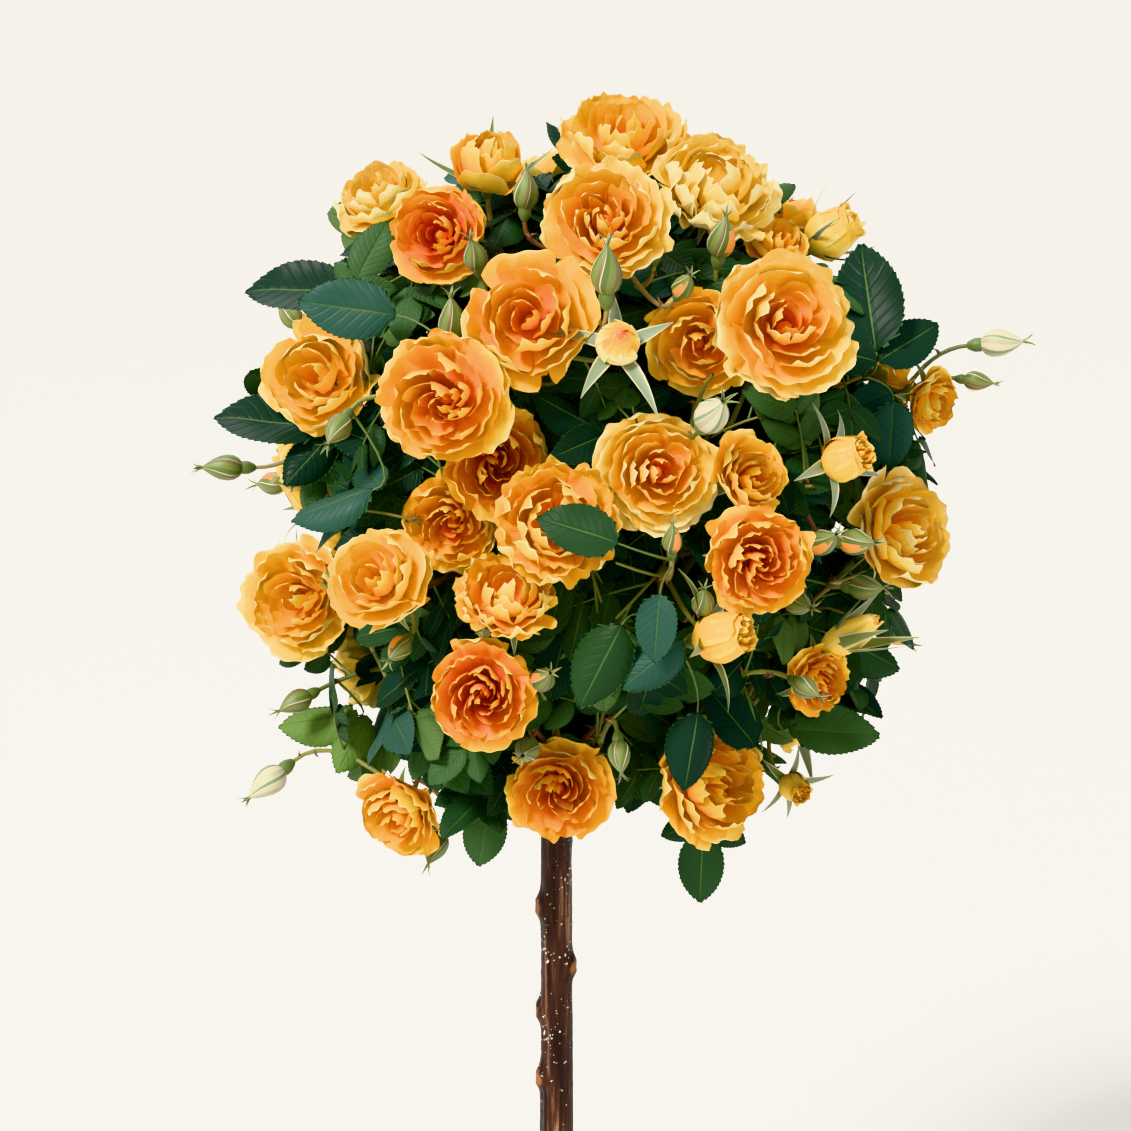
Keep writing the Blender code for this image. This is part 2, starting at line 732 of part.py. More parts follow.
def add_outer_leaves(masses):
    """The outer leaves, each at the first depth where it fits."""
    for leaf in OUTER_LEAVES:
        across, up = leaf.tip_across - leaf.across, leaf.tip_up - leaf.up
        run = (EYE_RIGHT * across + EYE_UP * up) / 1000
        way = run.normalized()
        for lift in DEPTHS:
            foot = on_head(leaf.across * 0.96, leaf.up * 0.96, lift)
            mass = masses[owner(foot + run * 0.5)]
            piece = leaflet_solid(foot - way * 0.006, way, leaf_face(way), run.length)
            if mass.fits(piece, MOST_REACH):
                if mass.add_shoot(foot, way, RACHIS_RADIUS, 1):
                    mass.pieces.append(piece)
                    break


def add_fill(masses):
    for cane, mass in masses.items():
        for place in fill_targets(cane):
            out = (place - HEAD_MIDDLE).normalized()
            end = pulled_in(place - out * 0.020, cane, 0.004)
            mass.add_shoot(end, out, RACHIS_RADIUS, FILL_LEAVES)


# ---------------------------------------------------------------- fusing
def largest_body(mesh):
    """Keeps the largest closed body of a mesh: drops loose scraps and fills sealed hollows."""
    bm = bmesh.new()
    bm.from_mesh(mesh)
    left, bodies = set(bm.verts), []
    while left:
        todo, body = [left.pop()], []
        while todo:
            vert = todo.pop()
            body.append(vert)
            near = {edge.other_vert(vert) for edge in vert.link_edges} & left
            left -= near
            todo += near
        bodies.append(body)
    bodies.sort(key=len)
    bmesh.ops.delete(bm, geom=[v for body in bodies[:-1] for v in body], context="VERTS")
    bm.to_mesh(mesh)
    bm.free()


def fused(name, pieces, finishes):
    """One closed mesh of all the pieces, joined by a Boolean union on their collection."""
    others = bpy.data.collections.new(name + "_pieces")
    bpy.context.scene.collection.children.link(others)
    base = add_object(name, *pieces[0], finishes)
    for i, (points, faces) in enumerate(pieces[1:]):
        piece = add_object(f"{name}_piece_{i}", points, faces, finishes)
        bpy.context.scene.collection.objects.unlink(piece)
        others.objects.link(piece)
    union = base.modifiers.new("fuse", "BOOLEAN")
    union.operation = "UNION"
    union.operand_type = "COLLECTION"
    union.collection = others
    union.solver = "MANIFOLD"
    bpy.context.view_layer.objects.active = base
    bpy.ops.object.modifier_apply(modifier=union.name)
    for piece in list(others.objects):
        bpy.data.objects.remove(piece)
    bpy.data.collections.remove(others)
    largest_body(base.data)
    return base


def foliage(finishes):
    flower_list = flowers()
    masses = {cane: Mass(cane, flower_list) for cane in CANES}
    add_flowers(masses, flower_list)
    add_buds(masses)
    add_outer_leaves(masses)
    add_fill(masses)
    for mass in masses.values():
        mass.add_leaves()
    add_rear_buds(masses)
    for cane, mass in masses.items():
        fused("foliage_" + cane.name, mass.pieces, finishes)


def main():
    clear_scene()
    bark = material("bark", (0.16, 0.085, 0.055), 0.6)
    cane_bark = material("cane_bark", (0.12, 0.17, 0.06), 0.5)
    leaf_green = material("leaf_green", (0.045, 0.12, 0.035), 0.4)
    petal = material("petal", (0.95, 0.47, 0.06), 0.6)
    sepal = material("sepal", (0.30, 0.38, 0.15), 0.5)
    stem(bark)
    canes(cane_bark)
    foliage([leaf_green, petal, sepal])


main()
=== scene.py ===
import math
import random
from collections import namedtuple

import bpy
import numpy as np
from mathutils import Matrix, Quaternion, Vector


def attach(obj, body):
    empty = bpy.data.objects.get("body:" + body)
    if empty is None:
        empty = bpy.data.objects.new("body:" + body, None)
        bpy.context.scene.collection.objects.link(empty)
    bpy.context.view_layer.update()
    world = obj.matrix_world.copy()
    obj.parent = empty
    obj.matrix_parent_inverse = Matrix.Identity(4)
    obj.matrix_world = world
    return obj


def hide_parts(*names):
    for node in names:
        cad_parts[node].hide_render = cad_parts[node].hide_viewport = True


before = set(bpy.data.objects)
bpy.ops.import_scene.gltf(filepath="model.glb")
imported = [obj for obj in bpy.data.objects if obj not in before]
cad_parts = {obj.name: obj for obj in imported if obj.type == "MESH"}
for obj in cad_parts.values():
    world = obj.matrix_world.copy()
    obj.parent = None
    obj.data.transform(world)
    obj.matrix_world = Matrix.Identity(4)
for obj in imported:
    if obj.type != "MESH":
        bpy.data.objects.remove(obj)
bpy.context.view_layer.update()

# ================================================================ the stem
# The stem is the straight bare trunk of a briar, one woody piece in brown bark that has split into
# fine ridges. The rose was budded onto its top, where it has healed into a knot, and the stubs of
# its own side shoots, cut away as it grew, stand out as knobs with a pale dry end.
STEM_HEIGHT = 0.603  # from the ground to the middle of the knot
STEM_TOP_RADIUS = 0.0099
STEM_TAPER = 0.0030
FLARE_WIDTH = 0.0090
FLARE_HEIGHT = 0.030
KNOT_RADIUS = 0.0205
STUBS = (  # height and bearing from the front
    (0.078, 35), (0.142, 200), (0.203, -60), (0.262, 95), (0.318, -150),
    (0.378, -72), (0.427, -96), (0.4615, 66), (0.504, -80), (0.548, 150),
)
STUB_HEIGHT = 0.0052
STUB_REACH = 0.0080
STUB_SPREAD = math.radians(34)
SCAR_REACH = 0.0034  # of the dry end in the middle of a stub
SCAR_DEPTH = 0.0016
BARK_SIDES = 72
BARK_RING_GAP = 0.0022
BARK_SEED = 11
RIDGE_HEIGHT, SPLIT_DEPTH, SCURF_HEIGHT = 0.00042, 0.0016, 0.00016
LENTICELS = 70
LENTICEL_WIDTH, LENTICEL_LENGTH, LENTICEL_HEIGHT = 0.0019, 0.0010, 0.0006
KNOT_LUMPS = 0.0014
BARK_DARK, BARK_BROWN, BARK_TAN = (0.014, 0.005, 0.004), (0.056, 0.020, 0.013), (0.30, 0.158, 0.080)
# The pale colour of painted glints of light scattered over the bark.
BARK_GLINT = (0.74, 0.66, 0.52)
SCAR_TAN = (0.26, 0.105, 0.045)


def stood(name, data):
    """A new object in the scene, made of this data."""
    item = bpy.data.objects.new(name, data)
    bpy.context.scene.collection.objects.link(item)
    return item


class Skin:
    """The surfaces of one piece as they are laid down: points, faces, finishes and places."""

    def __init__(self):
        self.points, self.quads, self.threes = [], [], []
        self.quad_finish, self.three_finish, self.places = [], [], []
        self.count = 0

    def add(self, points, quads, finish, places=None, threes=None, three_finish=None):
        """Faces have four corners, or three in threes. A place is how far across and along."""
        self.points.append(points)
        self.quads.append(quads + self.count)
        self.quad_finish.append(np.broadcast_to(finish, len(quads)))
        if threes is not None:
            self.threes.append(threes + self.count)
            self.three_finish.append(np.broadcast_to(three_finish, len(threes)))
        self.places.append(np.zeros((len(points), 2)) if places is None else places)
        self.count += len(points)

    def made(self, name, finishes):
        """The object of this name, with its finishes on it."""
        points, quads = np.concatenate(self.points), np.concatenate(self.quads)
        threes = np.concatenate(self.threes) if self.threes else np.zeros((0, 3), int)
        corners = np.concatenate([quads.ravel(), threes.ravel()]).astype("i4")
        totals = np.array([4] * len(quads) + [3] * len(threes), "i4")
        mesh = bpy.data.meshes.new(name)
        mesh.vertices.add(len(points))
        mesh.vertices.foreach_set("co", points.astype("f4").ravel())
        mesh.loops.add(len(corners))
        mesh.loops.foreach_set("vertex_index", corners)
        mesh.polygons.add(len(totals))
        mesh.polygons.foreach_set("loop_start", (np.cumsum(totals) - totals).astype("i4"))
        mesh.polygons.foreach_set("loop_total", totals)
        for finish in finishes:
            mesh.materials.append(finish)
        slots = np.concatenate(self.quad_finish + self.three_finish).astype("i4")
        mesh.polygons.foreach_set("material_index", slots)
        mesh.update(calc_edges=True)
        spread = mesh.uv_layers.new(name="spread")
        places = np.concatenate(self.places)[corners]
        spread.data.foreach_set("uv", places.astype("f4").ravel())
        mesh.shade_smooth()
        return stood(name, mesh)


def grid_faces(rows, columns, closed=False):
    """Four-cornered faces over a grid of points, which may close round on itself."""
    across = columns if closed else columns - 1
    i, j = np.meshgrid(np.arange(rows - 1), np.arange(across), indexing="ij")
    i, j = i.ravel(), j.ravel()
    k = (j + 1) % columns
    return np.stack([i * columns + j, i * columns + k, (i + 1) * columns + k, (i + 1) * columns + j], 1)


def patches(turn, height, around, along, seed):
    """Smooth random patches, from -1 to 1, this many round the wood and this long up it."""
    up = height / along
    rows = int(up.max()) + 3
    lattice = np.random.RandomState(seed).uniform(-1, 1, (rows, around))
    across = (turn / (2 * math.pi) % 1) * around
    i, j = np.floor(up).astype(int), np.floor(across).astype(int) % around
    a, b = up - np.floor(up), across - np.floor(across)
    a, b = a * a * (3 - 2 * a), b * b * (3 - 2 * b)
    k = (j + 1) % around
    low = lattice[i, j] * (1 - b) + lattice[i, k] * b
    high = lattice[i + 1, j] * (1 - b) + lattice[i + 1, k] * b
    return low * (1 - a) + high * a


def stub_nearness(turn, height):
    """How near each point is to the middle of a stub, and of a stub's dry end, from 0 to 1."""
    stub, scar = np.zeros_like(turn), np.zeros_like(turn)
    for at, bearing in STUBS:
        apart = np.abs((turn - math.radians(bearing) + math.pi) % (2 * math.pi) - math.pi)
        stub = stub + np.exp(-(((height - at) / STUB_REACH) ** 2) - (apart / STUB_SPREAD) ** 2)
        flat = (height - at) ** 2 + (apart * STEM_TOP_RADIUS) ** 2
        scar = np.maximum(scar, np.exp(-((flat / SCAR_REACH**2) ** 2)))
    return stub, scar


def bark_relief(turn, height, seed):
    """How far ridges, splits and scurf lift the bark, in metres."""
    sway = turn + 0.25 * patches(turn, height, 5, 0.09, seed)
    ridges = patches(sway, height, 26, 0.050, seed + 1)
    splits = np.clip(patches(sway, height, 34, 0.034, seed + 2) - 0.45, 0, None)
    scurf = patches(turn, height, 60, 0.0045, seed + 3)
    return RIDGE_HEIGHT * ridges - SPLIT_DEPTH * splits + SCURF_HEIGHT * scurf


def lenticel_lift(turn, height):
    """The corky pores, which stand out as short bars across the bark."""
    rule = random.Random(BARK_SEED)
    lift = np.zeros_like(turn)
    for _ in range(LENTICELS):
        at, bearing = rule.uniform(0.01, STEM_HEIGHT - 0.02), rule.uniform(-math.pi, math.pi)
        apart = np.abs((turn - bearing + math.pi) % (2 * math.pi) - math.pi) * STEM_TOP_RADIUS
        near = ((height - at) / LENTICEL_LENGTH) ** 2
        lift = np.maximum(lift, np.exp(-near - (apart / LENTICEL_WIDTH) ** 2))
    return lift


def fill(node, values):
    """Sets each of these sockets of a node to a value, or joins it to the output that feeds it."""
    for socket, value in values.items():
        if isinstance(value, bpy.types.NodeSocket):
            node.id_data.links.new(value, node.inputs[socket])
        else:
            node.inputs[socket].default_value = value


def begun(name, colour, **values):
    """A new material and its shader, with this colour and these sockets set."""
    finish = bpy.data.materials.new(name)
    finish.use_nodes = True
    shader = finish.node_tree.nodes["Principled BSDF"]
    fill(shader, {"Base Color": (*colour, 1)} if colour else {})
    fill(shader, {socket.replace("_", " "): value for socket, value in values.items()})
    return finish, shader


def added(shader, kind, values, output=0, **settings):
    """What a new node beside the shader gives out."""
    node = shader.id_data.nodes.new("ShaderNode" + kind)
    for setting, value in settings.items():
        setattr(node, setting, value)
    fill(node, values)
    return node.outputs[output]


def ramp(shader, feed, stops):
    """The colours between these (share, colour) stops."""
    colours = added(shader, "ValToRGB", {"Fac": feed})
    ends = colours.node.color_ramp.elements
    for end, (share, colour) in zip(ends, (stops[0], stops[-1])):
        end.position, end.color = share, (*colour, 1)
    for share, colour in stops[1:-1]:
        ends.new(share).color = (*colour, 1)
    return colours


def mixed(shader, share, first, second):
    """A colour feed that turns into a second, plain colour as the share grows."""
    feeds = {"Factor": share, "A": first, "B": (*second, 1)}
    return added(shader, "Mix", feeds, "Result", data_type="RGBA")


def woody_finish(name, dark, brown, tan, glint, roughness):
    """Bark: brown with long tan streaks, dark splits and scattered pale specks painted on as glints of
    light.
    """
    finish, shader = begun(name, None, Specular_IOR_Level=0.30)
    place = added(shader, "TexCoord", {}, "Object")
    drawn_out = added(shader, "Mapping", {"Vector": place, "Scale": (1.0, 1.0, 0.055)})
    grain = {"Vector": drawn_out, "Scale": 230.0, "Detail": 5.0, "Roughness": 0.62}
    streaks = added(shader, "TexNoise", grain)
    tones = ramp(shader, streaks, ((0.40, dark), (0.55, brown), (0.70, tan)))
    # Pale specks, crowded in bands: painted glints of light on the bark.
    glint_specks = added(shader, "TexNoise", {"Vector": place, "Scale": 420.0, "Detail": 2.0})
    bands = added(shader, "TexNoise", {"Vector": place, "Scale": 38.0})
    glint_clusters = added(shader, "Math", {0: bands, 1: 0.36, 2: glint_specks}, operation="MULTIPLY_ADD")
    glinted = mixed(shader, ramp(shader, glint_clusters, ((0.870, (0, 0, 0)), (0.890, (1, 1, 1)))), tones, glint)
    dry = added(shader, "Attribute", {}, "Fac", attribute_name="dry")
    dullness = {"Value": streaks, "To Min": roughness - 0.14, "To Max": roughness + 0.16}
    fill(shader, {
        "Base Color": mixed(shader, dry, glinted, SCAR_TAN),
        "Roughness": added(shader, "MapRange", dullness),
        "Normal": added(shader, "Bump", {"Height": streaks, "Strength": 0.6, "Distance": 0.0006}),
    })
    return finish


def stem_surface():
    """Rings of points up the stem and over the knot, and how dry each point is."""
    straight = np.arange(0, STEM_HEIGHT - 0.62 * KNOT_RADIUS, BARK_RING_GAP)
    lifts = np.radians(np.linspace(-36, 86, 34))
    height = np.concatenate([straight, STEM_HEIGHT + KNOT_RADIUS * np.sin(lifts)])
    turn = np.linspace(0, 2 * math.pi, BARK_SIDES, endpoint=False)
    turn, height = np.meshgrid(turn, height)
    stub, scar = stub_nearness(turn, height)
    radius = STEM_TOP_RADIUS + STEM_TAPER * (1 - height / STEM_HEIGHT)
    radius += FLARE_WIDTH * np.exp(-height / FLARE_HEIGHT) * (1 + 0.22 * np.cos(4 * turn))
    radius += STUB_HEIGHT * stub - SCAR_DEPTH * scar + LENTICEL_HEIGHT * lenticel_lift(turn, height)
    from_middle = np.clip((height - STEM_HEIGHT) / KNOT_RADIUS, -1, 1)
    ball = KNOT_RADIUS * np.sqrt(1 - from_middle**2)
    ball += KNOT_LUMPS * patches(turn, height, 9, 0.011, BARK_SEED + 5)
    near_knot = np.clip((height - STEM_HEIGHT) / KNOT_RADIUS + 1.5, 0, 1)
    radius = np.where(height > STEM_HEIGHT, ball, np.maximum(radius, ball * near_knot))
    radius += bark_relief(turn, height, BARK_SEED)
    points = np.stack([np.sin(turn) * radius, -np.cos(turn) * radius, height], -1)
    return points, np.clip(scar + 0.5 * (stub > 0.62), 0, 1)


stem_points, stem_dry = stem_surface()
stem_skin = Skin()
stem_skin.add(stem_points.reshape(-1, 3), grid_faces(*stem_points.shape[:2], closed=True), 0)
bark = woody_finish("bark", BARK_DARK, BARK_BROWN, BARK_TAN, BARK_GLINT, 0.46)
stem = stem_skin.made("stem_bark", [bark])
stem.data.attributes.new("dry", "FLOAT", "POINT").data.foreach_set("value", stem_dry.ravel())
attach(stem, "root")
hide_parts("stem")

# ================================================================ the canes
# Twelve canes are the rose's own old wood. They spring squarely from the knot and fan out to the
# head, in a smoother green-brown bark than the stem's, with a few hooked prickles.
CANE_FOOT_RADIUS = 0.0058
CANE_TIP_RADIUS = 0.0042
CANE_START = KNOT_RADIUS + 0.0008
CANE_LIFT = 0.10
CANE_SIDES = 20
CANE_RINGS = 60
CANE_RELIEF = 0.6  # of the stem's
COLLAR_HEIGHT, COLLAR_LENGTH = 0.0016, 0.006
CANE_PRICKLES, CANE_PRICKLE_LENGTH = 5, 0.0065
CANE_DARK, CANE_GREEN, CANE_TAN = (0.035, 0.030, 0.012), (0.085, 0.095, 0.030), (0.23, 0.20, 0.09)
# The pale colour of painted glints of light on the cane bark.
CANE_GLINT = (0.40, 0.34, 0.22)
KNOT = Vector((0, 0, STEM_HEIGHT))

# A bearing is measured from the front, positive to the right; a rise from level; both in degrees.
Cane = namedtuple("Cane", "name bearing rise length")
CANES = (
    Cane("top", 60, 86, 0.150),
    Cane("high_front_left", -34, 56, 0.120),
    Cane("high_front_right", 38, 56, 0.120),
    Cane("high_right", 110, 55, 0.120),
    Cane("high_back", 182, 56, 0.120),
    Cane("high_left", -106, 56, 0.120),
    Cane("low_front", 3, 22, 0.065),
    Cane("low_front_right", 58, 22, 0.070),
    Cane("low_back_right", 117, 22, 0.070),
    Cane("low_back", 178, 22, 0.065),
    Cane("low_back_left", -119, 22, 0.065),
    Cane("low_front_left", -58, 22, 0.065),
)


def heading(bearing, rise):
    """The direction with this bearing and rise."""
    b, r = math.radians(bearing), math.radians(rise)
    return Vector((math.sin(b) * math.cos(r), -math.cos(b) * math.cos(r), math.sin(r)))


def cane_line(cane):
    """The three points of a cane's curve. It leaves the knot squarely and arches a little."""
    along = heading(cane.bearing, cane.rise)
    a = KNOT + along * CANE_START
    c = KNOT + along * (CANE_START + cane.length)
    b = (a + c) / 2 + Vector((0, 0, 1)) * cane.length * CANE_LIFT * math.cos(math.radians(cane.rise))
    return a, b, c


def bezier(a, b, c, t):
    """The place this share of the way along the curve."""
    return a * (1 - t) ** 2 + b * 2 * t * (1 - t) + c * t**2


def bezier_heading(a, b, c, t):
    """The direction in which the curve runs there."""
    return ((b - a) * (1 - t) + (c - b) * t).normalized()


def curve_points(a, b, c, count):
    """Even steps along the curve, as rows of numbers."""
    return bezier(np.array(a), np.array(b), np.array(c), np.linspace(0, 1, count)[:, None])


def square_to(along, turn):
    """A direction square to another, turned this far round it."""
    return Quaternion(along, turn) @ along.orthogonal().normalized()


def round_wood(line, radii, sides):
    """The skin of a shoot along a line of points; radii are one for a ring or one for a point."""
    along = np.gradient(line, axis=0)
    along /= np.linalg.norm(along, axis=1)[:, None] + 1e-12
    side = np.cross(along[0], (0.31, 0.17, 0.93))
    radii = np.asarray(radii)
    if radii.ndim == 1:
        radii = radii[:, None]
    turn = np.linspace(0, 2 * math.pi, sides, endpoint=False)
    rings = []
    for middle, ahead, radius in zip(line, along, radii):
        side = side - ahead * side.dot(ahead)
        side /= np.linalg.norm(side)
        other = np.cross(ahead, side)
        spokes = np.cos(turn)[:, None] * side + np.sin(turn)[:, None] * other
        rings.append(middle + spokes * np.broadcast_to(radius, sides)[:, None])
    return np.concatenate(rings), grid_faces(len(line), sides, closed=True)


def prickle(root, out, back, length):
    """A hooked prickle: a narrow cone that leans back down its shoot."""
    line = curve_points(root, root + out * length * 0.7, root + out * length + back * length * 0.5, 4)
    return round_wood(line, [length * 0.30, length * 0.20, length * 0.09, length * 0.01], 4)


def add_prickles(skin, shoot, radius, count, length, rule, finish):
    """Prickles scattered up a shoot."""
    for _ in range(count):
        t = rule.uniform(0.12, 0.95)
        along = bezier_heading(*shoot, t)
        out = square_to(along, rule.uniform(0, 2 * math.pi))
        root = bezier(*shoot, t) + out * (radius * 0.8)
        skin.add(*prickle(root, out, -along, length * rule.uniform(0.7, 1.2)), finish)


cane_skin = Skin()
cane_rule = random.Random("canes")
for number, cane in enumerate(CANES):
    line = curve_points(*cane_line(cane), CANE_RINGS)
    taper = np.linspace(CANE_FOOT_RADIUS, CANE_TIP_RADIUS, CANE_RINGS)[:, None]
    turn, run = np.meshgrid(np.linspace(0, 2 * math.pi, CANE_SIDES, endpoint=False),
                            np.linspace(0, cane.length, CANE_RINGS))
    swell = COLLAR_HEIGHT * np.exp(-run / COLLAR_LENGTH)  # where it leaves the knot
    relief = CANE_RELIEF * bark_relief(turn, run, 40 + number)
    relief = relief + 0.0004 * patches(turn, run, 4, 0.03, number)
    cane_skin.add(*round_wood(line, taper + swell + relief, CANE_SIDES), 0)
    add_prickles(cane_skin, cane_line(cane), CANE_FOOT_RADIUS, CANE_PRICKLES, CANE_PRICKLE_LENGTH,
                 cane_rule, 0)
cane_bark = woody_finish("cane_bark", CANE_DARK, CANE_GREEN, CANE_TAN, CANE_GLINT, 0.45)
canes = cane_skin.made("canes", [cane_bark])
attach(canes, "root")
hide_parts(*("cane_" + cane.name for cane in CANES))

# ================================================================ where the flowers and buds stand
# The head is grown, not built: each cane has the space round its own direction, and every flower
# and bud belongs to the cane whose space it stands in, on a stalk of its own.
HEAD_MIDDLE = Vector((0.027, 0.0, 0.800))
HEAD_RADII = Vector((0.203, 0.205, 0.222))  # where the flowers' middles lie
HEAD_FLOOR = 0.525
EYE_DISTANCE = 2.0
EYE_ELEVATION = math.radians(16)
TO_EYE = Vector((0, -math.cos(EYE_ELEVATION), math.sin(EYE_ELEVATION)))
EYE_RIGHT = Vector((1, 0, 0))
EYE_UP = Vector((0, math.sin(EYE_ELEVATION), math.cos(EYE_ELEVATION)))
EYE = HEAD_MIDDLE + TO_EYE * EYE_DISTANCE
STALK_ROOM = 0.004  # between a stalk and the edge of its cane's space
FLOWER_SPACING = 0.42  # between two flowers' middles, over both their widths
SETTLE_STEP = 0.0025
BACK_COUNT = 58
BACK_REACH = 0.98
BACK_SPACING, TOP_SPACING = 0.46, 0.52
BACK_WIDTHS = (0.072, 0.064, 0.076, 0.068)
GOLDEN_TURN = math.pi * (3 - math.sqrt(5))
CUP_DEPTH = 0.22  # from a flower's middle down to its stalk, over its width
CUP_RADIUS, CUP_WAIST, CUP_SLOPE = 0.52, 0.54, 1.45  # at most, at its middle, and how it widens
CUP_UNDER, CUP_OVER = 0.32, 0.18  # how far a cup reaches behind and before the flower's middle
BUD_WIDTH = 0.017
BUD_LENGTH = 0.030
BESIDE_HEAD = 0.205  # buds further than this from the middle stand beside the head
DEPTHS = (0, 12, -12, 24, -24, 36, -36, 48, -48)  # lifts that an outer piece tries, in mm
MOST_REACH = 1.45  # of the head's outline, for a front bud
BACK_BUD_TRIES = 2  # beside each flower behind
BACK_BUD_ROOM, BACK_BUD_REACH, BACK_BUD_TOP = 0.030, 1.12, 0.95

# Places are across and up from the head's middle, in mm, as an eye in front sees them, turned to
# the right and tipped up from facing the eye, in degrees. A lift brings one nearer, in mm.
Flower = namedtuple("Flower", "across up width turn tip lift form tint")
Bud = namedtuple("Bud", "across up turn tip form size")
Bloom = namedtuple("Bloom", "place facing width cane form tint front")

FRONT_FLOWERS = (
    Flower(17, 221, 82, 0, 44, 4, "open", "yellow"),
    Flower(2, 168, 78, -6, 18, 18, "quartered", "apricot"),
    Flower(76, 189, 80, 18, 30, 6, "frilled", "lemon"),
    Flower(114, 152, 44, 20, 45, -10, "cupped", "golden"),
    Flower(120, 98, 88, 12, 10, 30, "open", "apricot"),
    Flower(62, 86, 66, -4, -6, -4, "cupped", "golden"),
    Flower(-47, 102, 80, -8, 8, 10, "cupped", "golden"),
    Flower(-103, 51, 80, -14, -4, 18, "quartered", "golden"),
    Flower(-106, 156, 64, -16, 8, 0, "open", "deep"),
    Flower(-142, 183, 62, -30, 45, 0, "cupped", "lemon"),
    Flower(-181, 66, 76, -22, 10, 4, "cupped", "yellow"),
    Flower(-71, 196, 50, 8, 56, 4, "goblet", "golden"),
    Flower(36, 4, 74, 6, 2, 18, "open", "apricot"),
    Flower(97, 2, 52, 34, 12, -12, "cupped", "golden"),
    Flower(101, -54, 66, 12, -8, 12, "quartered", "orange"),
    Flower(-66, 8, 66, 6, -10, -20, "quartered", "deep"),
    Flower(-97, -29, 64, -10, -4, 0, "quartered", "golden"),
    Flower(-24, -28, 80, 0, 12, 0, "frilled", "golden"),
    Flower(-60, -72, 66, 2, 40, 20, "frilled", "golden"),
    Flower(-144, -63, 68, -22, 22, 16, "cupped", "yellow"),
    Flower(-195, -77, 76, -20, 4, -14, "open", "yellow"),
    Flower(-77, -140, 68, -4, -10, 10, "quartered", "deep"),
    Flower(-130, -217, 62, -30, -28, 0, "cupped", "golden"),
    Flower(-26, -203, 68, 0, -16, 0, "quartered", "orange"),
    Flower(76, -194, 84, 40, 0, 8, "quartered", "golden"),
    Flower(142, -130, 46, 30, -16, 0, "quartered", "orange"),
    Flower(197, -32, 80, 42, 8, 0, "cupped", "apricot"),
    Flower(215, 48, 44, 48, -20, 0, "cupped", "golden"),
)
BACK_FORMS = ("open", "quartered", "cupped", "frilled")
BACK_TINTS = ("golden", "orange", "yellow", "apricot", "golden", "deep", "yellow")

# A closed bud is wrapped in its sepals; the other forms show petals between them.
FRONT_BUDS = (
    Bud(-237, 7, -78, 0, "closed", 1.0),
    Bud(254, 86, 78, 4, "woolly", 1.05),
    Bud(240, 62, 70, -8, "closed", 0.75),
    Bud(-210, -193, -62, -36, "woolly", 1.1),
    Bud(-192, -142, -60, -24, "closed", 0.9),
    Bud(-129, -109, -30, -30, "closed", 0.8),
    Bud(146, 154, 66, 30, "faded", 1.05),
    Bud(157, 13, 48, 14, "opening", 1.0),
    Bud(78, -101, 60, 10, "opening", 1.15),
    Bud(160, -100, 64, 28, "pointed", 1.0),
    Bud(-48, 182, 10, 74, "closed", 0.9),
    Bud(11, 88, 10, 20, "ball", 1.1),
    Bud(163, -41, 42, 0, "closed", 0.95),
    Bud(12, -177, 10, -60, "closed", 0.8),
)
# Small buds that stand among the flowers, each on a stalk from the nearest shoot.
SIDE_BUDS = (
    Bud(-80, 141, -20, 50, "closed", 0.85),
    Bud(-95, 99, -10, 70, "closed", 1.0),
    Bud(3, 130, 0, 74, "closed", 1.1),
    Bud(35, 152, 10, 70, "closed", 0.85),
    Bud(77, 152, 16, 60, "closed", 1.0),
    Bud(52, 122, 20, 30, "closed", 0.75),
    Bud(70, 40, 20, 24, "woolly", 1.15),
    Bud(65, -80, 0, 40, "closed", 0.8),
    Bud(45, -40, 0, 60, "closed", 0.7),
    Bud(142, -41, 30, 20, "closed", 0.9),
    Bud(126, -80, 30, -10, "closed", 0.85),
    Bud(169, -70, 50, 0, "closed", 0.9),
    Bud(131, -134, 40, -20, "closed", 0.8),
    Bud(-28, 84, -6, 60, "closed", 0.9),
    Bud(-168, 32, -30, -40, "closed", 0.9),
    Bud(-104, -235, -30, -50, "closed", 0.95),
    Bud(-37, -129, 20, 20, "closed", 0.85),
    Bud(-47, -174, -10, -10, "closed", 0.9),
    Bud(-75, -96, -10, 0, "closed", 0.7),
    Bud(126, -198, 30, -20, "opening", 0.7),
)
# Buds that stand out behind the head, by how far past its outline they reach.
RearBud = namedtuple("RearBud", "bearing rise reach")
REAR_BUDS = (
    RearBud(172, 16, 1.12),
    RearBud(-166, -6, 1.10),
    RearBud(150, 36, 1.12),
    RearBud(-145, 30, 1.12),
    RearBud(155, -16, 1.08),
)
BUD_MIDDLES = {  # how far a bud's middle is from where it is placed, over its width
    "closed": 0.50, "woolly": 0.50, "opening": 0.75, "faded": 0.80, "pointed": 0.95, "ball": 0.60,
}


def owner(place):
    """The cane whose direction from the knot is nearest to a place's."""
    out = place - KNOT
    return max(CANES, key=lambda cane: out.dot(heading(cane.bearing, cane.rise)))


def room_in_cell(place, cane):
    """How far a place lies inside the space round its cane's direction: less than 0 is outside."""
    out = place - KNOT
    mine = heading(cane.bearing, cane.rise)
    room = 1.0
    for other in CANES:
        if other is not cane:
            room = min(room, out.dot((mine - heading(other.bearing, other.rise)).normalized()))
    return room


def pulled_in(place, cane, room):
    """The place, moved towards its cane's direction until it has this much room in the space."""
    aim = heading(cane.bearing, cane.rise)
    axis_place = KNOT + aim * (place - KNOT).dot(aim)
    for step in range(20):
        moved = place.lerp(axis_place, step / 20)
        if room_in_cell(moved, cane) > room:
            return moved
    return axis_place


def in_head(place, reach=1.0):
    """Whether a place is inside the head's outline, grown by reach, and clear of the stem."""
    off = place - HEAD_MIDDLE
    share = sum((off[i] / (HEAD_RADII[i] * reach)) ** 2 for i in range(3))
    beside_stem = place.z < STEM_HEIGHT + 0.03 and math.hypot(place.x, place.y) < 0.034
    return share < 1.0 and place.z > HEAD_FLOOR and not beside_stem


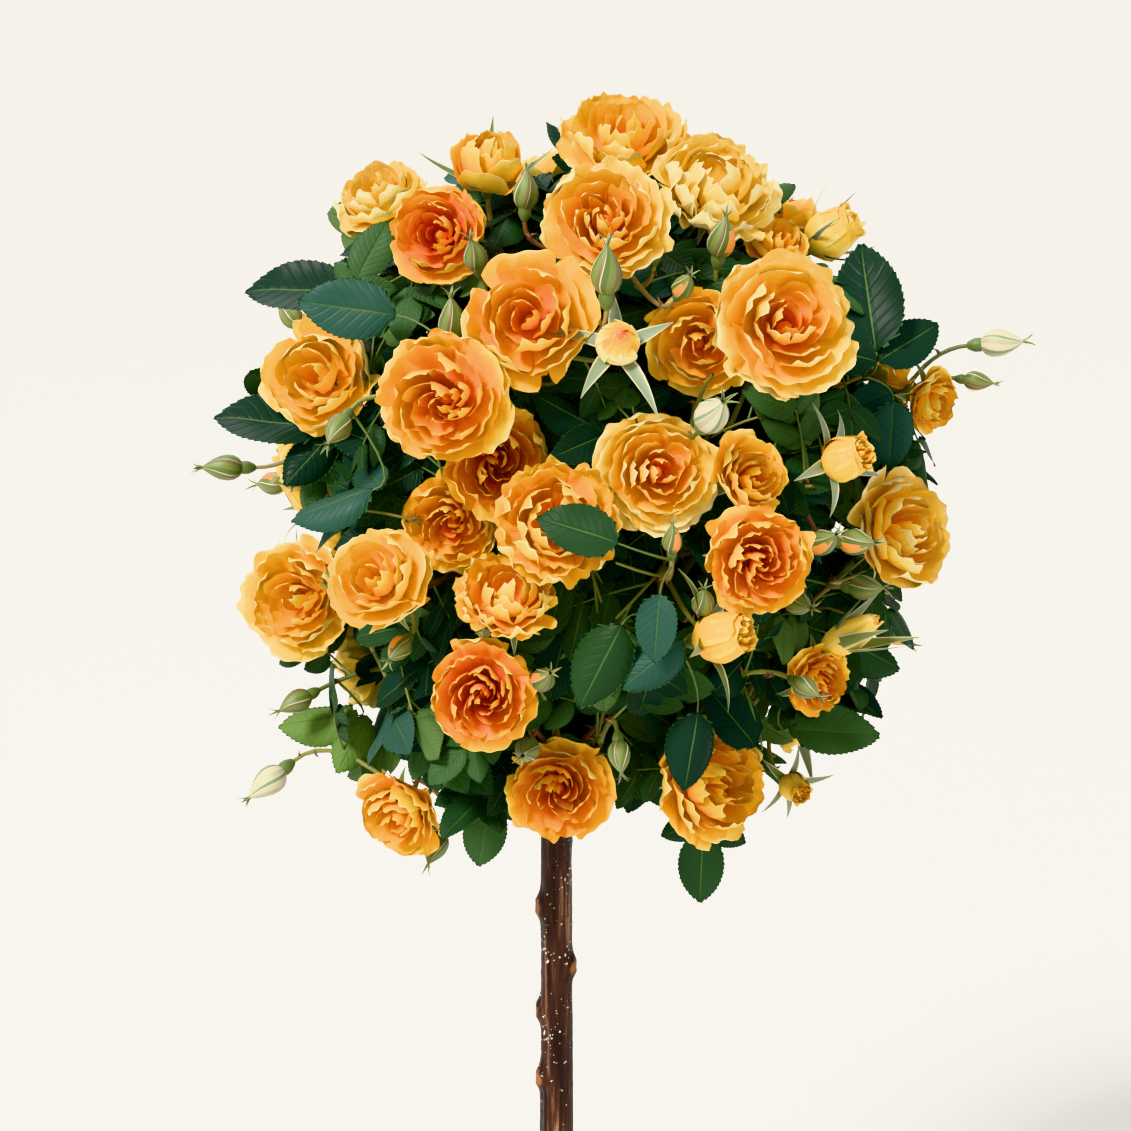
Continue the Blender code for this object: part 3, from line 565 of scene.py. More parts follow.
def head_point(out, reach):
    """The point of the head's outline, grown by reach, on the side that out points to."""
    return HEAD_MIDDLE + Vector(out[i] * HEAD_RADII[i] * reach for i in range(3))


def to_outline(start, along, side):
    """How far it is from a start to the head's outline: to its near side, -1, or its far one, 1."""
    off = start - HEAD_MIDDLE
    a = sum((along[i] / HEAD_RADII[i]) ** 2 for i in range(3))
    b = sum(along[i] * off[i] / HEAD_RADII[i] ** 2 for i in range(3))
    c = sum((off[i] / HEAD_RADII[i]) ** 2 for i in range(3)) - 1
    return (-b + side * math.sqrt(max(b * b - a * c, 0.0))) / a


def seen(across, up):
    """The offset this many mm across and up, as the eye sees it."""
    return (EYE_RIGHT * across + EYE_UP * up) / 1000


def on_head(across, up, lift):
    """Where the sight line through this offset meets the head's outline, brought nearer by lift."""
    line = (HEAD_MIDDLE + seen(across, up) - EYE).normalized()
    return EYE + line * (to_outline(EYE, line, -1) - lift / 1000)


def spiral(i, count, span=2.0, shift=0):
    """The i-th of this many directions spread evenly down a ball, from its top over span radii."""
    z = 1 - span * (i + 0.5) / count
    ring = math.sqrt(1 - z * z)
    return Vector((math.cos(i * GOLDEN_TURN + shift) * ring, math.sin(i * GOLDEN_TURN + shift) * ring, z))


def faced(turn, tip):
    """The direction that is turned to the right and tipped up from facing the eye."""
    turned = Quaternion(EYE_UP, math.radians(turn)) @ TO_EYE
    sideways = turned.cross(EYE_UP).normalized()
    return (Quaternion(sideways, math.radians(tip)) @ turned).normalized()


def settled(blooms):
    """The flowers with the smaller of any two that would meet set further into the head."""
    found = list(blooms)
    for _ in range(20):
        for i, one in enumerate(found):
            for k, other in enumerate(found[:i]):
                near = (one.place - other.place).length
                if near < FLOWER_SPACING * (one.width + other.width):
                    index = i if one.width <= other.width else k
                    small = found[index]
                    further = small.place + (small.place - EYE).normalized() * SETTLE_STEP
                    found[index] = small._replace(place=further)
                    one = found[i]
    return found


def back_flowers(front):
    """Flowers spread evenly over the rest of the head, clear of the front ones."""
    found = []
    for i in range(BACK_COUNT):
        out = spiral(i, BACK_COUNT, 1.80)
        place = head_point(out, BACK_REACH)
        width = BACK_WIDTHS[i % len(BACK_WIDTHS)]
        spacing = TOP_SPACING if out.z > 0.90 else BACK_SPACING
        clear = all((place - b.place).length > (width + b.width) * spacing for b in front + found)
        furthest = -0.10 if out.x > 0.55 and out.z < -0.10 else 0.15  # towards the eye
        if out.dot(TO_EYE) < furthest and clear:
            facing = (out + Vector((0, 0, 0.35))).normalized()
            form, tint = BACK_FORMS[i % len(BACK_FORMS)], BACK_TINTS[i % len(BACK_TINTS)]
            found.append(Bloom(place, facing, width, None, form, tint, False))
    return found


def flower_seat(bloom):
    """Where a flower's stalk meets the bottom of its cup."""
    return bloom.place - bloom.facing * (CUP_DEPTH * bloom.width)


def narrowed(blooms):
    """The flowers, each made narrow enough to clear those round it."""
    found = []
    for bloom in blooms:
        share = 1.0
        for other in blooms:
            if other is not bloom:
                apart = (bloom.place - other.place).length
                share = min(share, apart / (FLOWER_SPACING * (bloom.width + other.width)))
        found.append(bloom._replace(width=bloom.width * share))
    return found


def placed_flowers():
    """Every flower, given to the cane whose space its stalk ends in."""
    front = settled(
        Bloom(on_head(f.across, f.up, f.lift), faced(f.turn, f.tip), f.width / 1000, None,
              f.form, f.tint, True)
        for f in FRONT_FLOWERS
    )
    found = []
    for bloom in front + back_flowers(front):
        seat = flower_seat(bloom)
        cane = owner(seat)
        shift = pulled_in(seat, cane, STALK_ROOM) - seat
        found.append(bloom._replace(place=bloom.place + shift, cane=cane))
    return narrowed(found)


def in_flower(point, bloom, margin):
    """Whether a point lies inside a flower's cup, grown by a margin."""
    off = point - bloom.place
    height = off.dot(bloom.facing)
    out = (off - bloom.facing * height).length
    if not -CUP_UNDER * bloom.width - margin < height < CUP_OVER * bloom.width + margin:
        return False
    return out < bloom.width * min(CUP_RADIUS, CUP_WAIST + CUP_SLOPE * height / bloom.width) + margin


def bud_place(bud, lift):
    """Where a bud stands: among the flowers, or beside the head on a long stalk."""
    through = HEAD_MIDDLE + seen(bud.across, bud.up)
    if (through - HEAD_MIDDLE).length > BESIDE_HEAD:
        return through + TO_EYE * (lift / 1000)
    return on_head(bud.across, bud.up, lift)


def placed_buds(blooms, buds, proud=0):
    """The buds, this much proud, each at the first depth where it is clear of the flowers."""
    found = []
    for bud in buds:
        for lift in DEPTHS:
            facing = faced(bud.turn, bud.tip)
            place = bud_place(bud, lift + proud)
            place = place - facing * (BUD_MIDDLES[bud.form] * BUD_WIDTH * bud.size)
            ends = [place + facing * (BUD_LENGTH * bud.size * share) for share in (-0.4, 0.1, 0.6)]
            clear = not any(in_flower(spot, bloom, 0.004) for spot in ends for bloom in blooms)
            if clear and all(in_head(spot, MOST_REACH) for spot in ends):
                size = BUD_WIDTH * bud.size
                found.append(Bloom(place, facing, size, owner(place), bud.form, "golden", True))
                break
    return found


def rear_bud(bud):
    """A bud behind the head, facing outwards."""
    out = heading(bud.bearing, bud.rise)
    place = head_point(out, bud.reach)
    facing = (out + Vector((0, 0, 0.25))).normalized()
    return Bloom(place, facing, BUD_WIDTH, owner(place), "closed", "golden", False)


flowers = placed_flowers()
buds = placed_buds(flowers, FRONT_BUDS, 10) + placed_buds(flowers, SIDE_BUDS)
buds += [rear_bud(bud) for bud in REAR_BUDS]
back_rule = random.Random("back buds")
for bloom in [b for b in flowers if not b.front]:
    for _ in range(BACK_BUD_TRIES):
        aside = Quaternion(bloom.facing, back_rule.uniform(0, 6.28)) @ bloom.facing.orthogonal()
        facing = (bloom.facing + aside * 0.8 + Vector((0, 0, 0.3))).normalized()
        place = bloom.place + aside.normalized() * (bloom.width * 0.62) + bloom.facing * 0.008
        clear = not any(in_flower(place + facing * 0.004, other, 0.008) for other in flowers)
        apart = all((place - other.place).length > BACK_BUD_ROOM for other in buds)
        behind = in_head(place, BACK_BUD_REACH) and place.y > 0.04 and place.z < BACK_BUD_TOP
        if clear and apart and behind:
            form = back_rule.choice(("closed", "closed", "closed", "opening"))
            size = BUD_WIDTH * back_rule.uniform(0.8, 1.1)
            buds.append(Bloom(place, facing, size, owner(place), form, "golden", False))

# ================================================================ shoots, stalks and prickles
# From the tip of each cane a leader runs on through the head, and side shoots leave it for every
# flower, bud and tuft of leaves. They are this year's wood: green, flushed red where the sun is on
# them, a few millimetres thick, with small prickles.
LEADER_RADIUS = 0.0036
SHOOT_RADIUS = 0.0019
STALK_RADIUS = 0.0012
BUD_STALK_RADIUS = 0.0015
LONG_STALK_RADIUS = 0.0022
WORST_STALK = 2.6  # a short stalk that scores more gives way to a long one
LEADER_SHARE = 0.66  # of the way from the knot to the head's outline
LEADER_LENGTH = 0.035  # at least
FILL_LAYERS = ((0.99, 44), (0.80, 24))  # how far out the leafy side shoots end, and how many
# Where a side shoot leaves its leader, over its target's distance, and how long it arrives straight.
ROUTES = ((0.55, 0.38), (0.40, 0.34), (0.70, 0.38), (0.30, 0.50), (0.85, 0.28), (0.20, 0.30))
LEADER_PART = (0.10, 0.94)  # where along the leader side shoots may leave it
STALK_LENGTHS = (0.014, 0.095)
STALK_STARTS = (0.25, 0.35, 0.45, 0.55, 0.65, 0.75, 0.85)
BUD_FOOT = 0.6  # from a bud's place back to its stalk, over its width
FLOWER_LEAVES, BUD_LEAVES, FILL_LEAVES = 3, 2, 4
TWIG_STARTS = (0.45, 0.72)
TWIG_LENGTH = 0.060
TWIG_RADIUS = 0.0011
TWIG_RISE = Vector((0, 0, 0.006))
YOUNG_WOOD = ((0.100, 0.130, 0.030), (0.215, 0.230, 0.065), (0.290, 0.230, 0.090), (0.180, 0.075, 0.035))
# How rough and sheeny it is, and the scale, detail and strength of its grain.
YOUNG_GRAIN = (0.42, 0.0, 900.0, 3.0, 0.35)
PRICKLE_LENGTH = 0.0042
RUSSET_WOOD = 3  # the last of these looks, which its prickles have too

Shoot = namedtuple("Shoot", "a b c foot tip leaves bare")


def leader(cane):
    """The shoot that takes over at the cane's tip and runs on in its line."""
    _, bend, tip = cane_line(cane)
    along = (tip - bend).normalized()
    start = tip - along * 0.002
    aim = heading(cane.bearing, cane.rise)
    far = to_outline(KNOT, aim, 1)
    least = CANE_START + cane.length + LEADER_LENGTH
    end = KNOT + aim * max(LEADER_SHARE * far + (1 - LEADER_SHARE) * CANE_START, least)
    return Shoot(start, start + along * (0.45 * (end - start).length), end,
                 LEADER_RADIUS, SHOOT_RADIUS, 0, 0)


def crosses(line, spare=()):
    """How many flowers a line of points runs through."""
    return sum(any(in_flower(spot, b, 0.002) for spot in line) for b in flowers if b not in spare)


def best_of(choices):
    """The first of the (score, choice) pairs that scores 0, or else the one with the lowest score."""
    best = None
    for score, choice in choices:
        if best is None or score < best[0]:
            best = (score, choice)
        if score == 0:
            break
    return best


def side_shoot(target, arrival, cane, foot, tip, leaves, bare, spare=()):
    """A shoot from the leader to a target, along the route that runs through fewest flowers."""
    stem_line = leader(cane)[:3]
    reach = (target - stem_line[0]).length
    span = (stem_line[2] - stem_line[0]).length

    def routes():
        for start_share, bend in ROUTES:
            share = start_share * reach / span - 0.12
            a = bezier(*stem_line, min(max(share, LEADER_PART[0]), LEADER_PART[1]))
            b = pulled_in(target - arrival * (bend * (target - a).length), cane, STALK_ROOM)
            hits = crosses([bezier(a, b, target, 0.2 + 0.06 * i) for i in range(12)], spare)
            yield hits, Shoot(a, b, target, foot, tip, leaves, bare)

    return best_of(routes())[1]


def fill_targets(cane):
    """Where the leafy side shoots end: even layers over the cane's part of the head."""
    found = []
    for layer, (reach, count) in enumerate(FILL_LAYERS):
        for i in range(count):
            place = head_point(spiral(i, count, shift=layer), reach)
            if owner(place) is cane and place.z > STEM_HEIGHT - 0.035:
                found.append(place)
    return found


leaders = [leader(cane) for cane in CANES]
flower_shoots = [
    side_shoot(flower_seat(b), b.facing, b.cane, SHOOT_RADIUS, SHOOT_RADIUS * 0.85, FLOWER_LEAVES,
               0.10, (b,))
    for b in flowers
]
fill_shoots = []
for cane in CANES:
    for place in fill_targets(cane):
        out = (place - HEAD_MIDDLE).normalized()
        end = pulled_in(place - out * 0.020, cane, STALK_ROOM)
        fill_shoots.append(side_shoot(end, out, cane, SHOOT_RADIUS, STALK_RADIUS, FILL_LEAVES, 0.0))


def hides_flower(point):
    """Whether a point stands before a front flower, as the eye sees it."""
    for bloom in flowers:
        off = point - bloom.place
        nearer = off.dot(TO_EYE)
        if bloom.front and nearer > 0 and (off - TO_EYE * nearer).length < 0.46 * bloom.width:
            return True
    return False


def bud_foot(bud):
    """Where a bud's hip stands on its stalk."""
    return bud.place - bud.facing * (BUD_FOOT * bud.width)


def bud_shoot(bud):
    """A bud's stalk: from the nearest shoot that stands behind it, or else from the leader."""
    seat = bud_foot(bud)

    def stalks():
        for shoot in flower_shoots + leaders + fill_shoots:
            for t in STALK_STARTS:
                root = bezier(*shoot[:3], t)
                run = seat - root
                fits = STALK_LENGTHS[0] < run.length < STALK_LENGTHS[1]
                if fits and run.normalized().dot(bud.facing) > 0.25:
                    bend = seat - bud.facing * (0.45 * run.length)
                    line = [bezier(root, bend, seat, s / 8) for s in range(2, 8)]
                    hidden = sum(hides_flower(spot) for spot in line)
                    stalk = Shoot(root, bend, seat, SHOOT_RADIUS * 0.85, BUD_STALK_RADIUS, 1, 0.3)
                    yield crosses(line) + run.length * (10 + 4 * hidden), stalk

    best = best_of(stalks())
    if best and best[0] < WORST_STALK:
        return best[1]
    return side_shoot(
        seat, bud.facing, bud.cane, LONG_STALK_RADIUS, LONG_STALK_RADIUS * 0.8, BUD_LEAVES, 0.25
    )


bud_shoots = [bud_shoot(bud) for bud in buds]

# Finer twigs fork from the leafy shoots and carry leaves into the gaps between them.
twig_rule = random.Random("twigs")
twigs = []
for shoot in fill_shoots + flower_shoots[::2]:
    for share in TWIG_STARTS:
        root = bezier(*shoot[:3], share)
        along = bezier_heading(*shoot[:3], share)
        aside = square_to(along, twig_rule.uniform(0, 6.28))
        out = (root - HEAD_MIDDLE).normalized()
        way = (along * 0.8 + aside + out * 0.4).normalized()
        length = TWIG_LENGTH * twig_rule.uniform(0.6, 1.1)
        end = root + way * length + TWIG_RISE
        if in_head(end) and not crosses([root.lerp(end, s / 6) for s in range(1, 7)]):
            bend = root + along * length * 0.4
            twigs.append(Shoot(root, bend, end, TWIG_RADIUS, TWIG_RADIUS * 0.7, 3, 0.1))


def grained_finish(name, colour, roughness, sheen, scale, detail, strength):
    """A plain colour over a fine grain."""
    finish, shader = begun(name, colour, Roughness=roughness, Sheen_Weight=sheen)
    place = added(shader, "TexCoord", {}, "Object")
    grain = added(shader, "TexNoise", {"Vector": place, "Scale": scale, "Detail": detail})
    relief = added(shader, "Bump", {"Height": grain, "Strength": strength, "Distance": 0.0003})
    fill(shader, {"Normal": relief})
    return finish


wood_rule = random.Random("wood")
wood_skin = Skin()
for shoot in leaders + flower_shoots + bud_shoots + fill_shoots + twigs:
    thick = shoot.foot > LONG_STALK_RADIUS
    rings, sides = (14, 9) if thick else (9, 6) if shoot.foot > TWIG_RADIUS else (5, 5)
    line = curve_points(*shoot[:3], rings)
    radii = np.linspace(shoot.foot, shoot.tip, rings)
    radii = radii * (1 + 0.07 * np.cos(np.arange(rings) * 2.1))  # it thickens a little at each joint
    radii[0] *= 1.35
    colour = 0 if thick else wood_rule.choice((0, 1, 1, 2, RUSSET_WOOD))
    if shoot.foot == LONG_STALK_RADIUS:
        colour = wood_rule.choice((1, 2))
    wood_skin.add(*round_wood(line, radii, sides), colour)
    if shoot.foot > TWIG_RADIUS:
        count = 5 if thick else 3
        add_prickles(wood_skin, shoot[:3], shoot.foot, count, PRICKLE_LENGTH, wood_rule, RUSSET_WOOD)
young_wood = wood_skin.made(
    "shoots", [grained_finish(f"young_wood_{i}", c, *YOUNG_GRAIN) for i, c in enumerate(YOUNG_WOOD)]
)
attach(young_wood, "root")
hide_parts(*("foliage_" + cane.name for cane in CANES))

# ================================================================ the flowers
# Each flower is a full double rose of some forty soft petals in whorls. Broad guard petals roll
# back round the outside, and the inner ones stand in folded rings that grow shorter and redder to
# the middle; that red, and the deep tone at every petal's foot, is partly the rose's own colour and
# partly painted shade down in the flower. Every petal is thin, veined and waved, with a paler rim,
# partly its own edge and partly a painted highlight.
PETAL_ROWS = np.array([0.0, 0.18, 0.36, 0.52, 0.66, 0.78, 0.88, 0.96, 1.0])
PETAL_COLUMNS = (11, 17)
PETAL_FOOT = -0.23
# The tones a petal passes through from its foot in the red middle to its cream rim. The deep red
# end stands partly for painted shade down in the flower.
PETAL_TONES = (
    (0.700, 0.078, 0.046), (0.830, 0.135, 0.051), (0.905, 0.212, 0.056), (0.940, 0.294, 0.058),
    (0.955, 0.376, 0.060), (0.965, 0.447, 0.064), (0.975, 0.518, 0.068), (0.980, 0.580, 0.076),
    (0.985, 0.636, 0.092), (0.990, 0.695, 0.140), (0.990, 0.765, 0.250), (0.990, 0.840, 0.410),
)
TINTS = {  # the share of those tones at a foot's reddest and a rim's palest
    "deep": (0.01, 0.76), "orange": (0.13, 0.79), "golden": (0.25, 0.84), "yellow": (0.46, 0.90),
    "lemon": (0.56, 1.00), "apricot": (0.30, 1.02), "cream": (0.70, 1.04), "faded": (0.46, 0.94),
}

# A whorl's sizes are over the flower's width: half a petal's width, its foot's and rim's distance
# from the middle, its rim's height, and how far it bellies, bends across, curls out at the rim,
# rolls back at the sides, ruffles, tucks under its neighbour and peaks. Then its tones, which are
# deeper in the inner whorls, partly as painted shade in the middle of the flower.
Whorl = namedtuple(
    "Whorl", "count half foot rim high belly bend curl roll ruffle tuck peak low_tone high_tone"
)
OPEN_WHORLS = (
    Whorl(6, 0.250, 0.045, 0.440, -0.05, 1.00, 0.45, 0.070, 0.060, 0.030, 0.020, 0.07, 0.52, 0.98),
    Whorl(6, 0.240, 0.045, 0.410, 0.04, 1.10, 0.60, 0.075, 0.055, 0.028, 0.024, 0.06, 0.46, 0.94),
    Whorl(6, 0.225, 0.045, 0.345, 0.10, 1.20, 0.75, 0.065, 0.045, 0.024, 0.028, 0.04, 0.38, 0.90),
    Whorl(5, 0.205, 0.025, 0.275, 0.13, 1.25, 0.95, 0.060, 0.040, 0.022, 0.032, 0.03, 0.30, 0.86),
    Whorl(5, 0.170, 0.025, 0.200, 0.15, 1.20, 1.15, 0.050, 0.034, 0.020, 0.036, 0.02, 0.20, 0.80),
    Whorl(4, 0.140, 0.008, 0.125, 0.15, 1.10, 1.30, 0.035, 0.028, 0.016, 0.040, 0.01, 0.08, 0.72),
    Whorl(3, 0.100, 0.008, 0.060, 0.13, 1.00, 1.40, 0.015, 0.016, 0.010, 0.036, 0.00, 0.00, 0.62),
)
QUARTERED_WHORLS = (
    Whorl(6, 0.250, 0.045, 0.440, -0.04, 1.00, 0.45, 0.070, 0.060, 0.032, 0.020, 0.07, 0.50, 0.96),
    Whorl(6, 0.235, 0.045, 0.400, 0.05, 1.10, 0.60, 0.070, 0.055, 0.028, 0.024, 0.05, 0.42, 0.92),
    Whorl(6, 0.210, 0.045, 0.330, 0.11, 1.20, 0.85, 0.055, 0.045, 0.024, 0.034, 0.04, 0.32, 0.86),
    Whorl(6, 0.175, 0.025, 0.255, 0.14, 1.20, 1.40, 0.045, 0.036, 0.022, 0.056, 0.02, 0.20, 0.80),
    Whorl(6, 0.140, 0.025, 0.180, 0.15, 1.10, 1.90, 0.035, 0.030, 0.018, 0.064, 0.01, 0.10, 0.74),
    Whorl(5, 0.105, 0.008, 0.105, 0.14, 1.00, 2.10, 0.020, 0.022, 0.014, 0.056, 0.00, 0.02, 0.66),
    Whorl(3, 0.070, 0.008, 0.045, 0.12, 1.00, 2.10, 0.006, 0.012, 0.010, 0.040, 0.00, 0.00, 0.58),
)
CUPPED_WHORLS = (
    Whorl(5, 0.285, 0.045, 0.425, 0.00, 1.15, 0.55, 0.080, 0.055, 0.022, 0.020, 0.05, 0.52, 0.96),
    Whorl(5, 0.270, 0.045, 0.370, 0.09, 1.25, 0.70, 0.070, 0.045, 0.020, 0.026, 0.04, 0.46, 0.92),
    Whorl(5, 0.240, 0.025, 0.300, 0.14, 1.30, 0.90, 0.060, 0.038, 0.018, 0.032, 0.02, 0.40, 0.88),
    Whorl(4, 0.215, 0.025, 0.225, 0.17, 1.30, 1.10, 0.050, 0.030, 0.016, 0.040, 0.01, 0.32, 0.84),
    Whorl(4, 0.165, 0.008, 0.145, 0.18, 1.20, 1.30, 0.035, 0.024, 0.014, 0.046, 0.00, 0.22, 0.78),
    Whorl(3, 0.110, 0.008, 0.070, 0.17, 1.00, 1.50, 0.015, 0.014, 0.010, 0.044, 0.00, 0.12, 0.70),
)
FRILLED_WHORLS = (
    Whorl(7, 0.215, 0.045, 0.440, -0.02, 1.00, 0.45, 0.055, 0.050, 0.050, 0.020, 0.09, 0.50, 0.98),
    Whorl(7, 0.205, 0.045, 0.405, 0.06, 1.10, 0.60, 0.050, 0.045, 0.046, 0.024, 0.08, 0.44, 0.94),
    Whorl(6, 0.200, 0.045, 0.345, 0.10, 1.15, 0.80, 0.045, 0.040, 0.040, 0.030, 0.06, 0.38, 0.90),
    Whorl(5, 0.195, 0.025, 0.265, 0.13, 1.30, 1.00, 0.030, 0.030, 0.030, 0.036, 0.04, 0.34, 0.86),
    Whorl(4, 0.200, 0.025, 0.175, 0.15, 1.70, 1.20, 0.000, 0.020, 0.018, 0.044, 0.02, 0.34, 0.86),
    Whorl(3, 0.160, 0.008, 0.090, 0.16, 1.80, 1.40, -0.015, 0.010, 0.014, 0.050, 0.00, 0.36, 0.88),
)
GOBLET_WHORLS = (
    Whorl(4, 0.330, 0.045, 0.400, 0.30, 1.30, 0.80, 0.110, 0.110, 0.020, 0.024, 0.20, 0.52, 0.98),
    Whorl(4, 0.310, 0.025, 0.290, 0.40, 1.50, 1.00, 0.060, 0.050, 0.018, 0.030, 0.10, 0.46, 0.92),
    Whorl(4, 0.250, 0.025, 0.190, 0.44, 1.90, 1.40, 0.010, 0.020, 0.012, 0.050, 0.02, 0.40, 0.88),
    Whorl(4, 0.190, 0.008, 0.115, 0.45, 1.90, 1.60, 0.000, 0.010, 0.010, 0.060, 0.00, 0.30, 0.86),
    Whorl(3, 0.110, 0.008, 0.050, 0.44, 1.60, 1.80, 0.000, 0.008, 0.008, 0.050, 0.00, 0.22, 0.80),
)
FORMS = {
    "open": OPEN_WHORLS, "quartered": QUARTERED_WHORLS, "cupped": CUPPED_WHORLS,
    "frilled": FRILLED_WHORLS, "goblet": GOBLET_WHORLS,
}
# How far one petal may differ from its whorl, as a least and a most share of each size.
PETAL_SPREADS = (
    ("half", 0.88, 1.12), ("bend", 0.80, 1.20), ("curl", 0.30, 1.60), ("roll", 0.10, 1.90),
    ("ruffle", 0.50, 1.50), ("tuck", 0.30, 1.70), ("peak", -1.00, 1.40), ("rim", 0.88, 1.06),
)
HEIGHT_SPREAD = 0.035
BROAD_PETAL = 0.20  # petals wider than this have more columns
WHORL_TURN = 2.4  # radians from one whorl, or petal of a bud, to the next
RIM_PALE_AND_HIGHLIGHT = 0.20  # the share of the tones by which the last row of faces is paler: partly the petals' own pale edge, partly a painted highlight along the rim
CENTRE_DRIFT = 0.035  # how far a flower's innermost petals stand off its middle
HEART_BLUSH_AND_SHADE = 0.30  # how much redder the foot of a petal is in the middle than outside: partly the rose's own redder heart, partly painted shade deep in the flower
HEART_LINE = np.array([(0, 0, z) for z in (PETAL_FOOT - 0.01, PETAL_FOOT + 0.02, -0.10, -0.06)])
HEART_RADII = (0.02, 0.06, 0.05, 0.005)
TIERS = ("high", "middle", "low")  # the flowers are dealt to three pieces by their height


def rim_waves(rule, across):
    """The waves along a petal's rim, up and down and in and out."""
    up, out = np.zeros_like(across), np.zeros_like(across)
    for slow, quick, size in ((1.5, 3.0, 0.8), (3.5, 5.5, 0.6), (8.0, 13.5, 0.62)):
        rate, start = rule.uniform(slow, quick), rule.uniform(0, 2 * math.pi)
        up = up + size * np.sin(rate * across + start)
        out = out + size * np.sin(rate * across + start + 2.0)
    return up, out


def petal(rule, turn, whorl):
    """One petal's points, with the flower's middle at 0 and its width 1, and how far up each is."""
    columns = PETAL_COLUMNS[1] if whorl.half > BROAD_PETAL else PETAL_COLUMNS[0]
    across, up = np.meshgrid(np.linspace(-1, 1, columns), PETAL_ROWS)
    wave_up, wave_out = rim_waves(rule, across)
    half, bend, curl, roll, ruffle, tuck, peak, rim = (
        getattr(whorl, size) * rule.uniform(least, most) for size, least, most in PETAL_SPREADS
    )
    high = whorl.high + rule.uniform(-HEIGHT_SPREAD, HEIGHT_SPREAD)
    rounding = 0.34 * np.abs(across) ** 2.4 - peak * np.exp(-((across / 0.3) ** 2)) - 0.065 * wave_up
    t = up * (1 - rounding * up**1.5)
    ends = np.array([
        (whorl.foot, PETAL_FOOT),
        (whorl.foot + 0.62 * whorl.belly * (rim - whorl.foot) + 0.02, PETAL_FOOT + 0.02),
        (rim + 0.10 * whorl.belly, PETAL_FOOT + 0.62 * (high - PETAL_FOOT)),
        (rim, high),
    ])
    shares = (1 - t) ** 3, 3 * t * (1 - t) ** 2, 3 * t**2 * (1 - t), t**3
    out, height = (sum(s * e for s, e in zip(shares, ends[:, k])) for k in (0, 1))
    steps = np.diff(ends, axis=0)
    speeds = (1 - t) ** 2, 2 * t * (1 - t), t**2
    out_speed, height_speed = (sum(s * e for s, e in zip(speeds, steps[:, k])) for k in (0, 1))
    speed = np.hypot(out_speed, height_speed) + 1e-9
    outer_out, outer_height = height_speed / speed, -out_speed / speed
    rolled = np.clip((t - 0.58) / 0.42, 0, None) ** 2
    out = out + 0.90 * curl * rolled
    height = height - 0.75 * curl * rolled
    wide = half * (0.22 + 0.78 * np.sin(np.clip(t / 0.66, 0, 1) * math.pi / 2) ** 1.2)
    angle = np.maximum(bend * (0.4 + 0.6 * t), 1e-3)
    aside = wide * np.sin(angle * across) / angle
    inward = wide * (1 - np.cos(angle * across)) / angle
    crumple = 0.35 * np.sin(5.0 * across + turn * 3) + 0.16 * np.sin(11.0 * across + turn * 5 + 2 * t)
    crumple = ruffle * crumple * np.sin(math.pi * t)
    back = roll * np.abs(across) ** 3 * t + 0.7 * ruffle * wave_out * t**3 + tuck * across * t + crumple
    out = out - inward + back * outer_out
    height = height + back * outer_height + 0.8 * ruffle * wave_up * t**3
    c, s = math.cos(turn), math.sin(turn)
    return np.stack([out * c - aside * s, out * s + aside * c, height], -1), across, t


def rose_axes(bloom, spin):
    """Two directions across a flower's face and the one it faces, as rows."""
    side = square_to(bloom.facing, spin)
    return np.array([side, bloom.facing.cross(side), bloom.facing])


def petal_slots(shares):
    """The finishes of faces whose tones lie at these shares of the way from foot to rim."""
    return np.clip((shares * len(PETAL_TONES)).astype(int), 0, len(PETAL_TONES) - 1)


def last_row(faces, t):
    """Which faces of a petal are the ones along its rim."""
    return np.arange(len(faces)) >= len(faces) - (t.shape[1] - 1)


def add_rose(skin, bloom, whorls, rule, tones):
    """A whole flower, its petals turned on from whorl to whorl so that none hides another."""
    axes = rose_axes(bloom, rule.uniform(0, 2 * math.pi))
    low, high = tones
    turn, lean = rule.uniform(0, 2 * math.pi), rule.uniform(0, 2 * math.pi)
    for whorl in whorls:
        turn += WHORL_TURN
        within = max(0.0, 1 - whorl.rim / whorls[0].rim)
        aside = CENTRE_DRIFT * within * np.array([math.cos(lean), math.sin(lean), 0.0])
        for i in range(whorl.count):
            spread = turn + 2 * math.pi * i / whorl.count + rule.uniform(-0.22, 0.22)
            points, across, t = petal(rule, spread, whorl)
            faces = grid_faces(*t.shape)
            up = t.ravel()[faces].mean(1)
            # Each petal runs from a deep tone at its foot, partly painted shade down in the flower, to a
            # pale one at its rim.
            climb = np.clip((up - 0.20) / 0.75, 0, 1) ** 1.35
            tone = whorl.low_tone + (whorl.high_tone - whorl.low_tone) * climb
            # The feet of the inner whorls are redder still: partly the rose's own heart, partly painted
            # shade.
            tone = tone + rule.uniform(-0.06, 0.06) - HEART_BLUSH_AND_SHADE * within * (1 - climb)
            # The rim row is paler: partly the petal's own edge, partly a painted highlight.
            tone = np.where(last_row(faces, t), tone + RIM_PALE_AND_HIGHLIGHT, tone)
            points = np.array(bloom.place) + bloom.width * (points.reshape(-1, 3) + aside) @ axes
            places = np.stack([across.ravel(), t.ravel()], 1)
            skin.add(points, faces, petal_slots(low + (high - low) * tone), places)
    points, faces = round_wood(HEART_LINE, HEART_RADII, 7)  # the core that the petals stand round
    skin.add(np.array(bloom.place) + bloom.width * points @ axes, faces, int(low * len(PETAL_TONES)))


